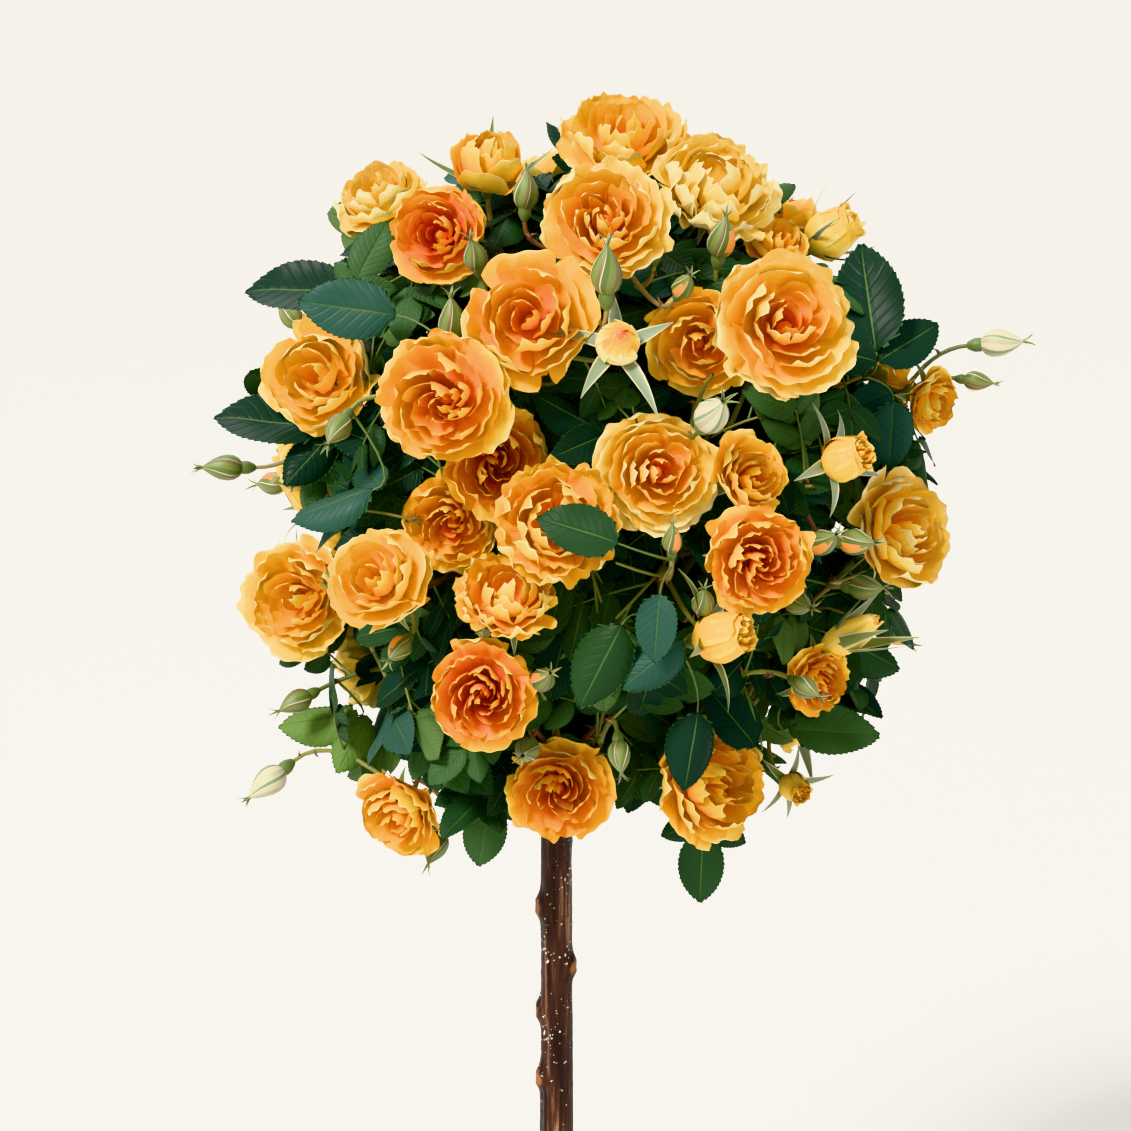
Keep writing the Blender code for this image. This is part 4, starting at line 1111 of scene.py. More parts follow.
def petal_finish(name, colour):
    """Soft, faintly sheeny petal with fine veins that run from foot to rim."""
    finish, shader = begun(name, colour, Roughness=0.55, Specular_IOR_Level=0.35, Sheen_Weight=0.12)
    place = added(shader, "UVMap", {}, uv_map="spread")
    drawn_out = added(shader, "Mapping", {"Vector": place, "Scale": (16.0, 1.6, 1.0)})
    veins = added(shader, "TexNoise", {"Vector": drawn_out, "Scale": 1.0, "Detail": 3.0})
    relief = added(shader, "Bump", {"Height": veins, "Strength": 0.42, "Distance": 0.0010})
    fill(shader, {"Normal": relief})
    return finish


petal_finishes = [petal_finish(f"petal_{i:02d}", colour) for i, colour in enumerate(PETAL_TONES)]
flower_rule = random.Random("flowers")
flower_tiers = {tier: Skin() for tier in TIERS}
flowers_by_height = sorted(flowers, key=lambda bloom: -bloom.place.z)
for rank, bloom in enumerate(flowers_by_height):
    tier = TIERS[len(TIERS) * rank // len(flowers)]
    add_rose(flower_tiers[tier], bloom, FORMS[bloom.form], flower_rule, TINTS[bloom.tint])
for tier, skin in flower_tiers.items():
    roses = skin.made("flowers_" + tier, petal_finishes)
    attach(roses, "root")
    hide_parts(*("foliage_" + cane.name for cane in CANES))

# ================================================================ buds, hips and sepals
# A bud is a cone of tightly rolled petals on a green hip the size of a pea, wrapped in five long
# sepals that grow from the hip's top. They spread and bend back as it opens, and lie back under
# an open flower.
SEPAL_GREENS = (
    (0.100, 0.150, 0.036), (0.160, 0.205, 0.055), (0.590, 0.545, 0.370), (0.170, 0.130, 0.055),
    (0.880, 0.330, 0.060), (0.215, 0.275, 0.170), (0.430, 0.420, 0.275),
)
OLIVE, LIGHT_OLIVE, PALE_MARGIN, RUSSET, PETAL_SLIT, WOOLLY, PALE_WOOL = range(7)
SEPAL_DOWN = (0.50, 0.10, 1100.0, 2.0, 0.30)  # their roughness, sheen and fine down
HIP_PROFILE = ((0.00, 0.12), (0.10, 0.18), (0.26, 0.25), (0.42, 0.26), (0.54, 0.24))  # up, radius
BUD_PROFILE = (
    (0.50, 0.22), (0.62, 0.36), (0.82, 0.47), (1.06, 0.50), (1.32, 0.45), (1.58, 0.33), (1.80, 0.19),
    (2.00, 0.05),
)
# Where the faces of one sepal of a closed bud begin, over its fifth of the round, and their tones.
SEPAL_SHARES = (0.0, 0.055, 0.38, 0.80)
SEPAL_TONES = {
    "closed": (PALE_MARGIN, OLIVE, LIGHT_OLIVE, RUSSET),
    "woolly": (PALE_MARGIN, PALE_WOOL, PALE_MARGIN, WOOLLY),
}
SLITS = (3, 7, 11, 40, 40)  # the columns where a petal may show; there is no column 40
SEPAL_TWIST = 0.45  # how far the sepals lean round a closed bud
# The length and half width of sepals, where on the hip they start, and how they lean and curve out.
SEPAL_TIPS = (0.55, 0.05, (0.05, 1.94), 0.25, 0.9)
STANDING_SEPALS = (2.60, 0.30, (0.24, 0.52), 1.25, -0.45)
RESTING_SEPALS = (1.60, 0.26, (0.24, 0.52), 1.70, 0.90)
SEPAL_ROWS = np.linspace(0, 1, 8)
SEPAL_COLUMNS = np.array([-1.0, -0.78, 0.0, 0.78, 1.0])
EGG_PROFILE = ((0.00, 0.14), (0.10, 0.33), (0.28, 0.46), (0.50, 0.50), (0.74, 0.42), (1.00, 0.30))
BALL_PROFILE = ((0.00, 0.16), (0.12, 0.37), (0.32, 0.50), (0.55, 0.50), (0.78, 0.33), (1.00, 0.06))
CAP_PROFILE = ((0.50, 0.30), (0.78, 0.24), (0.93, 0.13), (0.98, 0.01))  # the petals folded in at the top
SLIM_PROFILE = ((0.00, 0.13), (0.12, 0.27), (0.32, 0.35), (0.58, 0.34), (0.82, 0.24), (1.00, 0.10))
MOUTH_WHORLS = (  # the frilled petals in the mouth of an opening bud
    Whorl(6, 0.150, 0.025, 0.270, 0.16, 1.20, 1.00, 0.05, 0.03, 0.050, 0.03, 0.09, 0.34, 0.92),
    Whorl(5, 0.130, 0.025, 0.190, 0.20, 1.20, 1.10, 0.02, 0.02, 0.040, 0.04, 0.06, 0.16, 0.84),
    Whorl(4, 0.100, 0.008, 0.110, 0.19, 1.20, 1.30, 0.01, 0.01, 0.030, 0.04, 0.03, 0.02, 0.70),
)
# A form of opening bud: its petals' outline, width and height over its own width, tint and flush,
# and how long and wide its sepals are, how they lean and curve out, and their greens.
Opening = namedtuple("Opening", "profile wide tall tint flush length half lean curve greens")
DULL, BRIGHT = (WOOLLY, WOOLLY, OLIVE), (WOOLLY, LIGHT_OLIVE)
OPENINGS = {
    "opening": Opening(EGG_PROFILE, 1.42, 1.22, "golden", 0.0, 2.15, 0.27, 1.05, 0.75, DULL),
    "faded": Opening(EGG_PROFILE, 1.60, 1.20, "faded", 0.16, 2.70, 0.12, 1.10, -0.70, BRIGHT),
    "pointed": Opening(SLIM_PROFILE, 1.45, 1.60, "yellow", 0.0, 3.00, 0.30, 0.50, -0.20, BRIGHT),
    "ball": Opening(BALL_PROFILE, 1.25, 1.00, "cream", 0.55, 2.10, 0.27, 1.40, 0.40, DULL),
}
UNDER_FLOWER = 0.0155  # the size of the hip and sepals under an open flower
WRAPPED_PETALS = 9
OPEN_MOUTH = 0.2  # a bud with a top wider than this shows frilled petals


def ringed(profile, turns, twist=0.0):
    """A round body over (height, radius) rings, with a point at each of these turns."""
    rings = []
    for height, radius in profile:
        turn = turns + twist * height
        level = np.full(len(turns), height)
        rings.append(np.stack([np.cos(turn) * radius, np.sin(turn) * radius, level], 1))
    return np.concatenate(rings), grid_faces(len(profile), len(turns), closed=True)


def sepal(turn, length, half, start, lean, curve, rule):
    """A lance-shaped sepal from the hip's top: start is where, lean and curve are angles outwards."""
    t = SEPAL_ROWS
    angle = lean + curve * t
    step = length / (len(t) - 1)
    out = start[0] + np.concatenate([[0], np.cumsum(np.sin(angle[:-1]) * step)])
    high = start[1] + np.concatenate([[0], np.cumsum(np.cos(angle[:-1]) * step)])
    wide = half * (1 - t) ** 0.8 * (0.7 + 2.0 * t * (1 - t)) + 0.010
    sway = 0.14 * length * t**2 * rule.uniform(-1, 1)
    aside = wide[:, None] * SEPAL_COLUMNS + sway[:, None]
    cup = 0.30 * wide[:, None] * np.abs(SEPAL_COLUMNS)  # its sides turn up
    radial = out[:, None] - cup * np.cos(angle)[:, None]
    height = high[:, None] + cup * np.sin(angle)[:, None]
    c, s = math.cos(turn), math.sin(turn)
    points = np.stack([radial * c - aside * s, radial * s + aside * c, height], -1)
    return points.reshape(-1, 3), grid_faces(len(t), len(SEPAL_COLUMNS))


def add_hip(skin, place, axes, size):
    """The green hip that carries a bud or a flower."""
    points, faces = ringed(HIP_PROFILE, np.linspace(0, 2 * math.pi, 10, endpoint=False))
    skin.add(place + size * points @ axes, faces, OLIVE)


def add_sepals(skin, place, axes, size, rule, length, half, start, lean, curve,
               greens=(OLIVE, LIGHT_OLIVE)):
    """Five sepals, green with pale margins."""
    for i in range(5):
        turn = 2 * math.pi * i / 5 + rule.uniform(-0.15, 0.15)
        points, faces = sepal(turn, length * rule.uniform(0.85, 1.2), half, start,
                              lean * rule.uniform(0.8, 1.2), curve * rule.uniform(0.7, 1.3), rule)
        blade = rule.choice(greens)
        tones = np.tile([PALE_MARGIN, blade, blade, PALE_MARGIN], len(SEPAL_ROWS) - 1)
        skin.add(place + size * points @ axes, faces, tones)


def add_closed_bud(skin, foot, axes, size, rule, form):
    """A closed bud in five lapped sepals; a petal may show between two of them."""
    shares = (np.arange(5)[:, None] + np.array(SEPAL_SHARES)).ravel() * 2 * math.pi / 5
    points, faces = ringed(BUD_PROFILE, shares, SEPAL_TWIST)
    column = np.arange(len(faces)) % len(shares)
    tones = np.array(SEPAL_TONES[form])[column % len(SEPAL_SHARES)]
    row = np.arange(len(faces)) // len(shares)
    slit = rule.choice(SLITS)
    shown = (column == slit) & (row > 0) & (row < 6) | (column == slit - 1) & (row > 1) & (row < 5)
    tones = np.where(shown, PETAL_SLIT, tones)
    edge = np.arange(len(points)) % len(SEPAL_SHARES) == 0
    points = points * np.where(edge, 1.035, 1.0)[:, None] ** np.array([1, 1, 0])
    skin.add(foot + size * points @ axes, faces, tones)
    add_hip(skin, foot, axes, size)
    add_sepals(skin, foot, axes, size, rule, *SEPAL_TIPS)


def wrapped_petal(rule, turn, layer, profile, tall):
    """A petal that wraps an opening bud, as points with the bud's width 1 and how far up each is."""
    across, up = np.meshgrid(np.linspace(-1, 1, 10), PETAL_ROWS)
    wave_up, wave_out = rim_waves(rule, across)
    t = up * (1 - (0.20 * np.abs(across) ** 2.2 - 0.03 * wave_up) * up)
    heights, radii = np.array(profile).T
    radius = np.interp(t, heights, radii) * (1 + 0.06 * layer + 0.03 * across + 0.05 * across**3)
    rim = np.clip((t - 0.80) / 0.20, 0, None) ** 2
    flare = min(1.0, 3.3 * profile[-1][1])
    radius = radius + rim * (0.05 + 0.05 * layer) * flare + 0.03 * wave_out * up**3
    angle = turn + across * (1.15 - 0.12 * layer)
    return np.stack([np.cos(angle) * radius, np.sin(angle) * radius, tall * t - 0.04 * layer], -1), t


def add_opening_bud(skin, foot, axes, size, rule, tones, profile, tall, flush):
    """An opening bud's petals: wrapped tightly, some flushed, frilled where the mouth is open."""
    low, high = tones
    for number in range(WRAPPED_PETALS):
        layer = number // 3
        points, t = wrapped_petal(rule, WHORL_TURN * number, layer, profile, tall)
        faces = grid_faces(*t.shape)
        up = t.ravel()[faces].mean(1)
        column = np.arange(len(faces)) % (t.shape[1] - 1)
        tone = 0.42 + 0.30 * up + 0.05 * layer + rule.uniform(-0.10, 0.08)
        # The rim row and one side column are paler: partly the petal's own edge, partly a painted
        # highlight.
        tone = np.where(last_row(faces, t) | (column == t.shape[1] - 2), tone + RIM_PALE_AND_HIGHLIGHT, tone)
        flushed = np.sin(column * 0.7 + number) * np.sin(6 * up + 0.6 * number) * (number % 3 < 2)
        flushed = np.maximum(flushed, (up - 0.62) / 0.30)  # redder to the tip
        slots = petal_slots(low + (high - low) * tone - flush * np.clip(flushed, 0, 1))
        skin.add(foot + size * points.reshape(-1, 3) @ axes, faces, slots)
    if profile[-1][1] > OPEN_MOUTH:
        place = Vector(foot + size * 0.85 * tall * axes[2])
        mouth = Bloom(place, Vector(axes[2]), size, None, "", "", True)
        add_rose(skin, mouth, MOUTH_WHORLS, rule, tones)
    else:
        points, faces = ringed(CAP_PROFILE, np.linspace(0, 2 * math.pi, 12, endpoint=False), 1.5)
        cap = foot + size * (points * (1, 1, tall)) @ axes
        skin.add(cap, faces, int((low - 0.9 * flush) * len(PETAL_TONES)))


bud_rule = random.Random("buds")
bud_skin, opening_skin = Skin(), Skin()
for bud in buds:
    axes = rose_axes(bud, bud_rule.uniform(0, 6.28))
    foot = np.array(bud_foot(bud))
    if bud.form in SEPAL_TONES:
        add_closed_bud(bud_skin, foot, axes, bud.width, bud_rule, bud.form)
    else:
        form = OPENINGS[bud.form]
        add_hip(bud_skin, foot, axes, bud.width)
        add_sepals(bud_skin, foot, axes, bud.width, bud_rule, form.length, form.half, (0.22, 0.52),
                   form.lean, form.curve, form.greens)
        add_opening_bud(opening_skin, foot + 0.50 * bud.width * axes[2], axes, form.wide * bud.width,
                        bud_rule, TINTS[form.tint], form.profile, form.tall, form.flush)
for bloom in flowers:
    axes = rose_axes(bloom, bud_rule.uniform(0, 6.28))
    foot = np.array(flower_seat(bloom) - bloom.facing * (0.50 * UNDER_FLOWER))
    add_hip(bud_skin, foot, axes, UNDER_FLOWER)
    shape = STANDING_SEPALS if bloom.form == "goblet" else RESTING_SEPALS  # a goblet has just opened
    add_sepals(bud_skin, foot, axes, UNDER_FLOWER, bud_rule, *shape)
sepals = bud_skin.made(
    "buds_and_sepals", [grained_finish(f"sepal_{i}", c, *SEPAL_DOWN) for i, c in enumerate(SEPAL_GREENS)]
)
opening_buds = opening_skin.made("opening_buds", petal_finishes)
for piece in (sepals, opening_buds):
    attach(piece, "root")
    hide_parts(*("foliage_" + cane.name for cane in CANES))

# ================================================================ the leaves
# A leaf is five toothed leaflets on a thin stalk, two pairs and one at the end. They are leathery,
# dark green and glossy on top, folded a little along the midrib and bowed down to the tip, and
# they stand round every shoot with their faces up and out.
LEAF_LENGTH = 0.078  # of a whole leaf with its stalk
LEAF_REACH = 1.24  # of the head's outline, and less where the flowers should stand proud
FRONT_LEAF_REACH = 0.94
TOP_LEAF_REACH = 1.06
RIGHT_LEAF_REACH = 1.13
SKIRT_RADIUS = 0.095  # no leaf hangs lower than this close to the stem
SKIRT_HEIGHT = 0.580
LOW_EDGE = -0.222  # how far down the eye sees leaves, beside the few that hang
OPEN_SIDE = (0.100, -0.110)  # right of and below this the head is thinly leaved
OPEN_SIDE_LOSS = 0.45  # the share of leaves that are missing there
LEAF_TRIES = 10
LEAF_SIZES = (1.0, 0.9, 1.06, 0.84)
LEAFLET_WIDTH = 0.60  # over its length
TEETH = 2  # to each face along the edge
LEAFLET_SHAPES = (  # how far it is folded, droops and is cupped
    (0.30, 0.14, 0.2), (0.18, 0.24, 0.0), (0.42, 0.08, 0.6), (0.10, 0.18, 0.9),
)
LEAFLET_PAIRS = ((0.86, 0.42), (0.50, 0.34))  # how far up the stalk, and a leaflet's share of the leaf
END_LEAFLET = 0.52
TOOTHED_FROM = 0.12  # leaves nearer the head's middle have plain leaflets
LEAF_COLUMNS = np.array([-1.0, -0.52, -0.030, 0.030, 0.52, 1.0])
# The darkest greens go deep in the head as painted shade. The last, a blue green, is partly the leaves'
# own bluish cast and partly a painted reflection of the pale sky on their gloss.
LEAF_GREENS = (
    (0.015, 0.036, 0.023), (0.027, 0.060, 0.028), (0.048, 0.100, 0.040), (0.086, 0.148, 0.054),
    (0.115, 0.200, 0.055), (0.034, 0.084, 0.062),
)
LEAF_GLOSSES = (0.40, 0.42, 0.46, 0.52, 0.58, 0.42)
LEAF_STALK, LEAF_RIM, MIDRIB = (len(LEAF_GREENS) + i for i in range(3))
LEAF_STALK_GREEN = (0.110, 0.170, 0.050)
LEAF_RIM_GREEN = (0.050, 0.098, 0.046)
MIDRIB_GREEN = (0.072, 0.128, 0.042)
RIB_GLOSS = 0.45
STALK_RADII = (0.0009, 0.0005)
CLEAR_AHEAD = 0.060  # no leaf stands this far in front of a flower
HIDING_SHARE = 0.44  # nor this close to its line of sight, over its width,
HIDING_RANGE = 0.20  # and nearer the eye than this
BUD_ROOM, BUD_RANGE = 0.012, (-0.01, 0.10)  # and the same for a bud
TIER_FLOORS = (("high", 0.86), ("middle", 0.73), ("low", 0.0))  # the pieces that the leaves are dealt to

# The leaves that stand out past the flowers all round the head: foot and tip, and their green.
OuterLeaf = namedtuple("OuterLeaf", "across up tip_across tip_up green")
OUTER_LEAVES = (
    OuterLeaf(-166, 122, -226, 138, 0),
    OuterLeaf(-162, 132, -142, 176, 2),
    OuterLeaf(-184, 32, -246, 50, 0),
    OuterLeaf(-152, -8, -204, -16, 5),
    OuterLeaf(-160, -158, -218, -156, 4),
    OuterLeaf(-72, -216, -82, -262, 2),
    OuterLeaf(70, -236, 67, -286, 1),
    OuterLeaf(126, -168, 180, -164, 2),
    OuterLeaf(184, 84, 174, 156, 0),
    OuterLeaf(196, 52, 194, 4, 5),
)

# Single leaflets in the gaps between the front flowers, and one that lies over a flower; a lift is
# how far towards the eye, in mm.
NearLeaf = namedtuple("NearLeaf", "across up tip_across tip_up lift green")
NEAR_LEAVES = (
    NearLeaf(10, -42, -38, -24, 34, 1),
    NearLeaf(37, -74, 33, -113, 12, 5),
    NearLeaf(52, -104, 18, -130, 4, 5),
    NearLeaf(13, -94, -10, -140, 0, 1),
    NearLeaf(62, -150, 56, -196, 0, 0),
    NearLeaf(100, -172, 70, -134, 0, 0),
    NearLeaf(-131, 104, -186, 112, 10, 5),
)


def leaflet_form(stations, fold, droop, cup, toothed):
    """A leaflet of length 1: points (across, along, up), faces, and its teeth."""
    t = np.linspace(0.0, 1.0, stations)
    half = 2.57 * t**0.55 * (1 - t) ** 0.86 * LEAFLET_WIDTH / 2 + 0.006
    across = LEAF_COLUMNS
    x = half[:, None] * across
    up = fold * np.abs(x) - cup * np.abs(x) ** 2 * 2.5 - droop * t[:, None] ** 2
    up = up + 0.012 * np.sin(9 * t[:, None] + 2 * across)
    y = t[:, None] + 0.05 * np.abs(across) * np.sin(math.pi * t[:, None])
    points = np.stack([x, y, up], -1).reshape(-1, 3)
    places = np.stack([np.broadcast_to(across, x.shape).ravel(), np.repeat(t, len(across))], 1)
    faces = grid_faces(stations, len(across))
    teeth = np.zeros((0, 3), int)
    if toothed:
        extra, extra_places, found = [], [], []
        for column, sign in ((0, -1), (len(across) - 1, 1)):
            for row in range(stations - 1):
                low, high = row * len(across) + column, (row + 1) * len(across) + column
                ends = [low]
                for k in range(1, TEETH):
                    extra.append(points[low] + (points[high] - points[low]) * k / TEETH)
                    extra_places.append(places[low])
                    ends.append(len(points) + len(extra) - 1)
                ends.append(high)
                for first, second in zip(ends, ends[1:]):
                    every = np.concatenate([points, np.array(extra).reshape(-1, 3)])
                    run = every[second] - every[first]
                    out = np.array([sign * abs(run[1]), -run[0] * sign, 0.0])
                    extra.append(every[second] + out * 0.26 - run * 0.10)
                    extra_places.append(places[low])
                    found.append((first, second, len(points) + len(extra) - 1)[::sign])
        points = np.concatenate([points, extra])
        places = np.concatenate([places, extra_places])
        teeth = np.array(found)
    return points, faces, places, teeth


TOOTHED_FORMS = [leaflet_form(9, *shape, True) for shape in LEAFLET_SHAPES]
PLAIN_FORMS = [leaflet_form(6, *shape, False) for shape in LEAFLET_SHAPES[:2]]


def add_leaflet(skin, rule, foot, along, face, length, green, toothed):
    """One leaflet from its foot, lying along a direction with its top to the face."""
    points, faces, places, teeth = rule.choice(TOOTHED_FORMS if toothed else PLAIN_FORMS)
    along = along.normalized()
    face = (face - along * face.dot(along)).normalized()
    side = along.cross(face)
    axes = np.array([side, along, face]) * length
    on_rib = np.arange(len(faces)) % (len(LEAF_COLUMNS) - 1) == (len(LEAF_COLUMNS) - 2) // 2
    looks = np.where(on_rib, MIDRIB, green)
    skin.add(np.array(foot) + points @ axes, faces, looks, places, teeth, LEAF_RIM)


def leaf_parts(foot, way, face, length):
    """A leaf's stalk line, and each leaflet's foot, direction and length."""
    side = way.cross(face).normalized()
    bow = face * (-0.10 * length)
    bend, end = foot + way * (0.30 * length), foot + way * (0.56 * length) + bow
    parts = [(end, way + face * -0.35, END_LEAFLET * length)]
    for t, size in LEAFLET_PAIRS:
        root = bezier(foot, bend, end, t)
        for hand in (-1, 1):
            parts.append((root, way * 0.55 + side * hand - face * 0.22, size * length))
    return (foot, bend, end), parts


def leaf_face(way, out=TO_EYE):
    """The way that a leaf's upper side faces: up and out, across the way it points."""
    face = out * 0.6 + Vector((0, 0, 0.75)) + TO_EYE * 0.1
    return (face - way * face.dot(way)).normalized()


flower_places = np.array([bloom.place for bloom in flowers])
flower_facings = np.array([bloom.facing for bloom in flowers])
flower_widths = np.array([bloom.width for bloom in flowers])
front_flowers = np.array([bloom.front for bloom in flowers])
bud_places = np.array([bud.place for bud in buds])
bud_facings = np.array([bud.facing for bud in buds])


def from_sight_line(off):
    """How much nearer the eye each offset is, and how far beside the line of sight."""
    nearer = off @ np.array(TO_EYE)
    return nearer, np.linalg.norm(off - nearer[..., None] * np.array(TO_EYE), axis=-1)


def meets_flowers(spots):
    """Whether any of the spots is in a flower, or stands in front of one, or hides a front bud."""
    off = spots[:, None] - flower_places
    height = (off * flower_facings).sum(-1)
    out = np.linalg.norm(off - height[..., None] * flower_facings, axis=-1)
    cup = np.minimum(CUP_RADIUS, CUP_WAIST + CUP_SLOPE * height / flower_widths)
    cup = cup * flower_widths + 0.002
    if ((out < cup) & (height > -0.30 * flower_widths) & (height < CLEAR_AHEAD)).any():
        return True
    nearer, beside = from_sight_line(off)
    hiding = (beside < HIDING_SHARE * flower_widths) & (nearer > 0) & (nearer < HIDING_RANGE)
    if (hiding & front_flowers).any():
        return True
    nearer, beside = from_sight_line(spots[:, None] - (bud_places + bud_facings * 0.006))
    return bool(((beside < BUD_ROOM) & (nearer > BUD_RANGE[0]) & (nearer < BUD_RANGE[1])).any())


def in_reach(spot):
    """Whether a leaf may stand there: inside the head, and low where the flowers face the eye."""
    out = (spot - HEAD_MIDDLE).normalized()
    reach = LEAF_REACH
    if out.dot(TO_EYE) > 0.55:
        reach = FRONT_LEAF_REACH
    if out.z > 0.75:
        reach = min(reach, TOP_LEAF_REACH)
    if out.x > 0.60:
        reach = min(reach, RIGHT_LEAF_REACH)
    under = spot.z < SKIRT_HEIGHT and math.hypot(spot.x, spot.y) < SKIRT_RADIUS
    low = EYE_UP.dot(spot - HEAD_MIDDLE) < LOW_EDGE
    return in_head(spot, reach) and not under and not low


def leaf_spots(parts):
    """Points over a leaf: the middle and tip of every leaflet, and its two sides."""
    found = []
    for foot, along, length in parts:
        along = along.normalized()
        aside = along.orthogonal().normalized() * (length * LEAFLET_WIDTH * 0.4)
        found += [foot + along * (length * share) for share in (0.3, 0.65, 1.0)]
        found += [foot + along * (length * 0.45) + aside, foot + along * (length * 0.45) - aside]
    return found


def add_leaf(skin, rule, line, parts, face, green, toothed):
    """A whole leaf: its stalk, and a leaflet for each part."""
    middle = curve_points(*line, 7)
    skin.add(*round_wood(middle, np.linspace(*STALK_RADII, 7), 4), LEAF_STALK)
    for foot, along, length in parts:
        top = Quaternion(along.normalized(), rule.uniform(-0.30, 0.30)) @ face
        add_leaflet(skin, rule, foot, along, top, length * rule.uniform(0.92, 1.08), green, toothed)


def green_of(rule, place):
    """The green of a whole leaf: darkest inside the head, as painted shade, and lighter low down on the
    left.
    """
    if not in_head(place, 0.84) and place.x < -0.06 and place.z < 0.78 and rule.random() < 0.5:
        return rule.choice((2, 3, 3, 4))
    # Painted shade: leaves deep in the head take the darkest greens.
    if in_head(place, 0.80):
        return rule.choice((0, 0, 0, 1))
    return rule.choice((0, 1, 1, 2, 2, 5, 3))


def leaf_finish(name, colour, gloss):
    """Leathery leaf: glossy, with sunken veins that run forward from the midrib to the edge."""
    finish, shader = begun(name, colour, Roughness=gloss, Specular_IOR_Level=0.11)
    place = added(shader, "UVMap", {}, uv_map="spread")
    split = added(shader, "SeparateXYZ", {"Vector": place}).node

    def worked(operation, *values):
        return added(shader, "Math", dict(enumerate(values)), operation=operation)

    from_midrib = worked("ABSOLUTE", split.outputs["X"])
    forward = worked("SUBTRACT", split.outputs["Y"], worked("MULTIPLY", from_midrib, 0.20))
    ribs = worked("PINGPONG", worked("MULTIPLY", forward, 9.0), 0.5)
    side_veins = worked("MINIMUM", worked("MULTIPLY", ribs, 3.0), 0.6)
    midrib = worked("MINIMUM", worked("MULTIPLY", from_midrib, 7.0), 1.0)
    height = worked("ADD", side_veins, midrib)
    relief = added(shader, "Bump", {"Height": height, "Strength": 0.6, "Distance": 0.0005})
    fill(shader, {"Normal": relief})
    return finish


leaf_rule = random.Random("leaves")
leaf_tiers = {tier: Skin() for tier, _ in TIER_FLOORS}


def tier_skin(place):
    """The skin of the piece that a leaf at this place belongs to."""
    return next(leaf_tiers[tier] for tier, floor in TIER_FLOORS if place.z > floor)


leaf_bearers = [
    bezier(*shoot[:3], t) for shoot in fill_shoots + flower_shoots + bud_shoots + leaders
    for t in (0.25, 0.4, 0.55, 0.7, 0.85, 1.0)
]


def borne_stalk(foot, way):
    """A leaf's stalk from the nearest shoot that it can leave without running through a flower."""
    def stalks():
        for root in sorted(leaf_bearers, key=lambda root: (root - foot).length)[:40]:
            run = (foot - root).length
            line = (root, foot - way * (0.40 * run), foot)
            yield crosses([bezier(*line, s / 8) for s in range(1, 8)]) + (1 if run < 0.010 else 0), line

    return best_of(stalks())[1]


for leaf in OUTER_LEAVES:
    run = seen(leaf.tip_across - leaf.across, leaf.tip_up - leaf.up)
    way = run.normalized()
    face = leaf_face(way)
    side = way.cross(face)
    for share, lift in [(share, lift) for share in (1.0, 0.8) for lift in DEPTHS]:
        foot = on_head(leaf.across * 0.96, leaf.up * 0.96, lift)
        length = run.length * share
        parts = [(foot, way - face * 0.12, length)]
        for hand in (-1, 1):
            parts.append((foot - way * 0.006, way * 0.45 + side * hand - face * 0.2, length * 0.66))
        clear = [part for part in parts if not meets_flowers(np.array(leaf_spots([part])))]
        if parts[0] in clear:
            line = borne_stalk(foot, way)
            add_leaf(tier_skin(foot), leaf_rule, line, clear, face, leaf.green, True)
            break

for leaf in NEAR_LEAVES:
    run = seen(leaf.tip_across - leaf.across, leaf.tip_up - leaf.up)
    way = run.normalized()
    foot = on_head(leaf.across, leaf.up, leaf.lift)
    face = (TO_EYE + Vector((0, 0, 0.35))).normalized()
    line = borne_stalk(foot, way)
    add_leaf(tier_skin(foot), leaf_rule, line, [(foot, way, run.length)], face, leaf.green, True)

for shoot in fill_shoots + flower_shoots + bud_shoots + twigs:
    turn = leaf_rule.uniform(0, 2 * math.pi)
    for i in range(shoot.leaves):
        size = LEAF_LENGTH * leaf_rule.choice(LEAF_SIZES)
        t = (i + 0.9) / (shoot.leaves + 0.35) * (1 - shoot.bare)
        root, along = bezier(*shoot[:3], t), bezier_heading(*shoot[:3], t)
        out = (root - HEAD_MIDDLE).normalized()
        for _ in range(LEAF_TRIES):
            turn += GOLDEN_TURN
            way = (square_to(along, turn) + along * 0.35 + out * 0.35).normalized()
            face = leaf_face(way, out)
            line, parts = leaf_parts(root, way, face, size)
            spots = leaf_spots(parts)
            across, up = root.x - HEAD_MIDDLE.x, EYE_UP.dot(root - HEAD_MIDDLE)
            if across > OPEN_SIDE[0] and up < OPEN_SIDE[1] and leaf_rule.random() < OPEN_SIDE_LOSS:
                break
            if all(in_reach(spot) for spot in spots[2::5]) and not meets_flowers(np.array(spots)):
                shown = (line[2] - HEAD_MIDDLE).length > TOOTHED_FROM
                green = green_of(leaf_rule, root)
                add_leaf(tier_skin(root), leaf_rule, line, parts, face, green, shown)
                break

leaf_looks = zip(LEAF_GREENS, LEAF_GLOSSES)
leaf_finishes = [leaf_finish(f"leaf_green_{i}", *look) for i, look in enumerate(leaf_looks)]
leaf_finishes += [
    grained_finish("leaf_stalk", LEAF_STALK_GREEN, *YOUNG_GRAIN),
    leaf_finish("leaf_rim", LEAF_RIM_GREEN, RIB_GLOSS), leaf_finish("midrib", MIDRIB_GREEN, RIB_GLOSS),
]
for tier, skin in leaf_tiers.items():
    leaves = skin.made("leaves_" + tier, leaf_finishes)
    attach(leaves, "root")
    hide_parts(*("foliage_" + cane.name for cane in CANES))

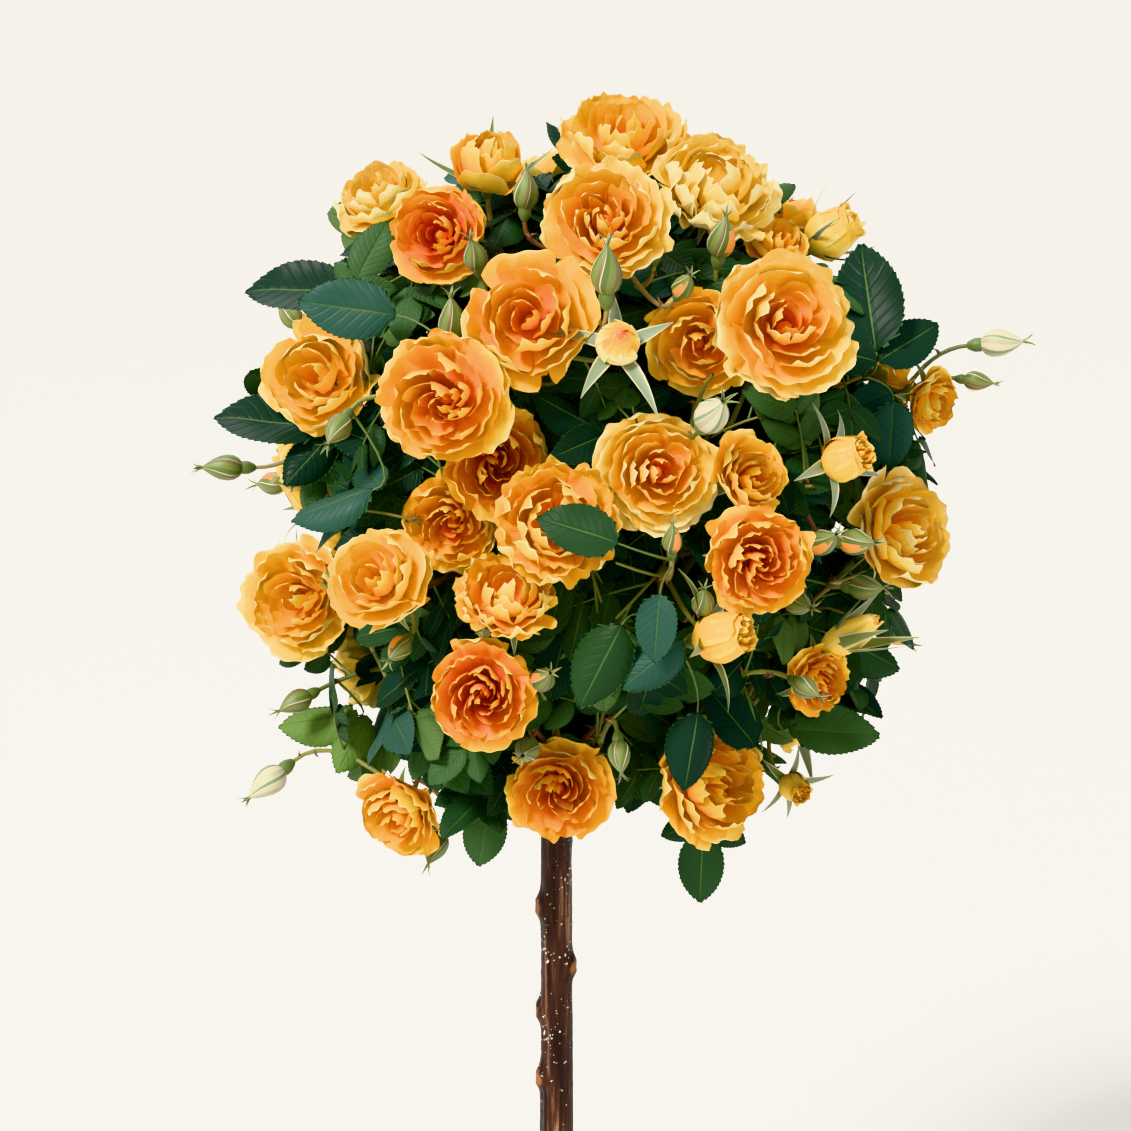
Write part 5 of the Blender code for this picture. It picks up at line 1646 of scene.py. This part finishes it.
# ================================================================ the studio
# A pale floor with the plant standing on it, lit by a large soft key light high on the left, a
# weaker fill on the right and a broad light from above and behind.
FLOOR_HALF = 30.0
FLOOR_TONE = (0.78, 0.77, 0.74)
KEY_POWER, KEY_COLOUR, KEY_SPREAD = 4.2, (1.0, 0.97, 0.92), math.radians(14)
TO_KEY = Vector((-0.62, -0.72, 0.95))
SOFT_SIZE = 1.6
SKY_COLOUR, SKY_POWER = (1.0, 0.98, 0.95), 0.75


def lamp(name, kind, power, colour):
    """A new light in the scene, and its settings."""
    data = bpy.data.lights.new(name, kind)
    data.energy, data.color = power, colour
    return stood(name, data), data


def soft_light(name, place, power, colour):
    """A broad round light that is turned to the head."""
    light, data = lamp(name, "AREA", power, colour)
    data.shape, data.size = "DISK", SOFT_SIZE
    light.location = place
    light.rotation_euler = (HEAD_MIDDLE - Vector(place)).to_track_quat("-Z", "Y").to_euler()


floor_mesh = bpy.data.meshes.new("studio_floor")
corners = [(x * FLOOR_HALF, y * FLOOR_HALF, 0) for x, y in ((-1, -1), (1, -1), (1, 1), (-1, 1))]
floor_mesh.from_pydata(corners, [], [(0, 1, 2, 3)])
floor_mesh.materials.append(begun("floor", FLOOR_TONE, Roughness=0.8)[0])
stood("studio_floor", floor_mesh)

key, key_data = lamp("key", "SUN", KEY_POWER, KEY_COLOUR)
key_data.angle = KEY_SPREAD
key.rotation_euler = TO_KEY.to_track_quat("Z", "Y").to_euler()
soft_light("fill", (2.2, -1.8, 1.3), 10, (0.93, 0.96, 1.0))
soft_light("top", (-0.6, 1.3, 2.7), 26, (0.95, 0.98, 1.0))

sky = bpy.data.worlds.new("studio")
sky.use_nodes = True
fill(sky.node_tree.nodes["Background"], {"Color": (*SKY_COLOUR, 1), "Strength": SKY_POWER})
bpy.context.scene.world = sky
bpy.context.scene.view_settings.view_transform = "Khronos PBR Neutral"

# The camera stands at head height and looks a little down at the rose.
SENSOR = 36.0
FOCAL_PIXELS = 3125.0
IMAGE_SIDE = 1131.0
CAMERA_PLACE = (0.006, -1.923, 1.348)
CAMERA_DROP = 17.5  # degrees below level
lens = bpy.data.cameras.new("camera")
lens.sensor_width = SENSOR
lens.lens = SENSOR * FOCAL_PIXELS / IMAGE_SIDE
camera = stood("camera", lens)
camera.location = CAMERA_PLACE
camera.rotation_euler = (math.radians(90 - CAMERA_DROP), 0, 0)
bpy.context.scene.camera = camera

bpy.context.view_layer.update()
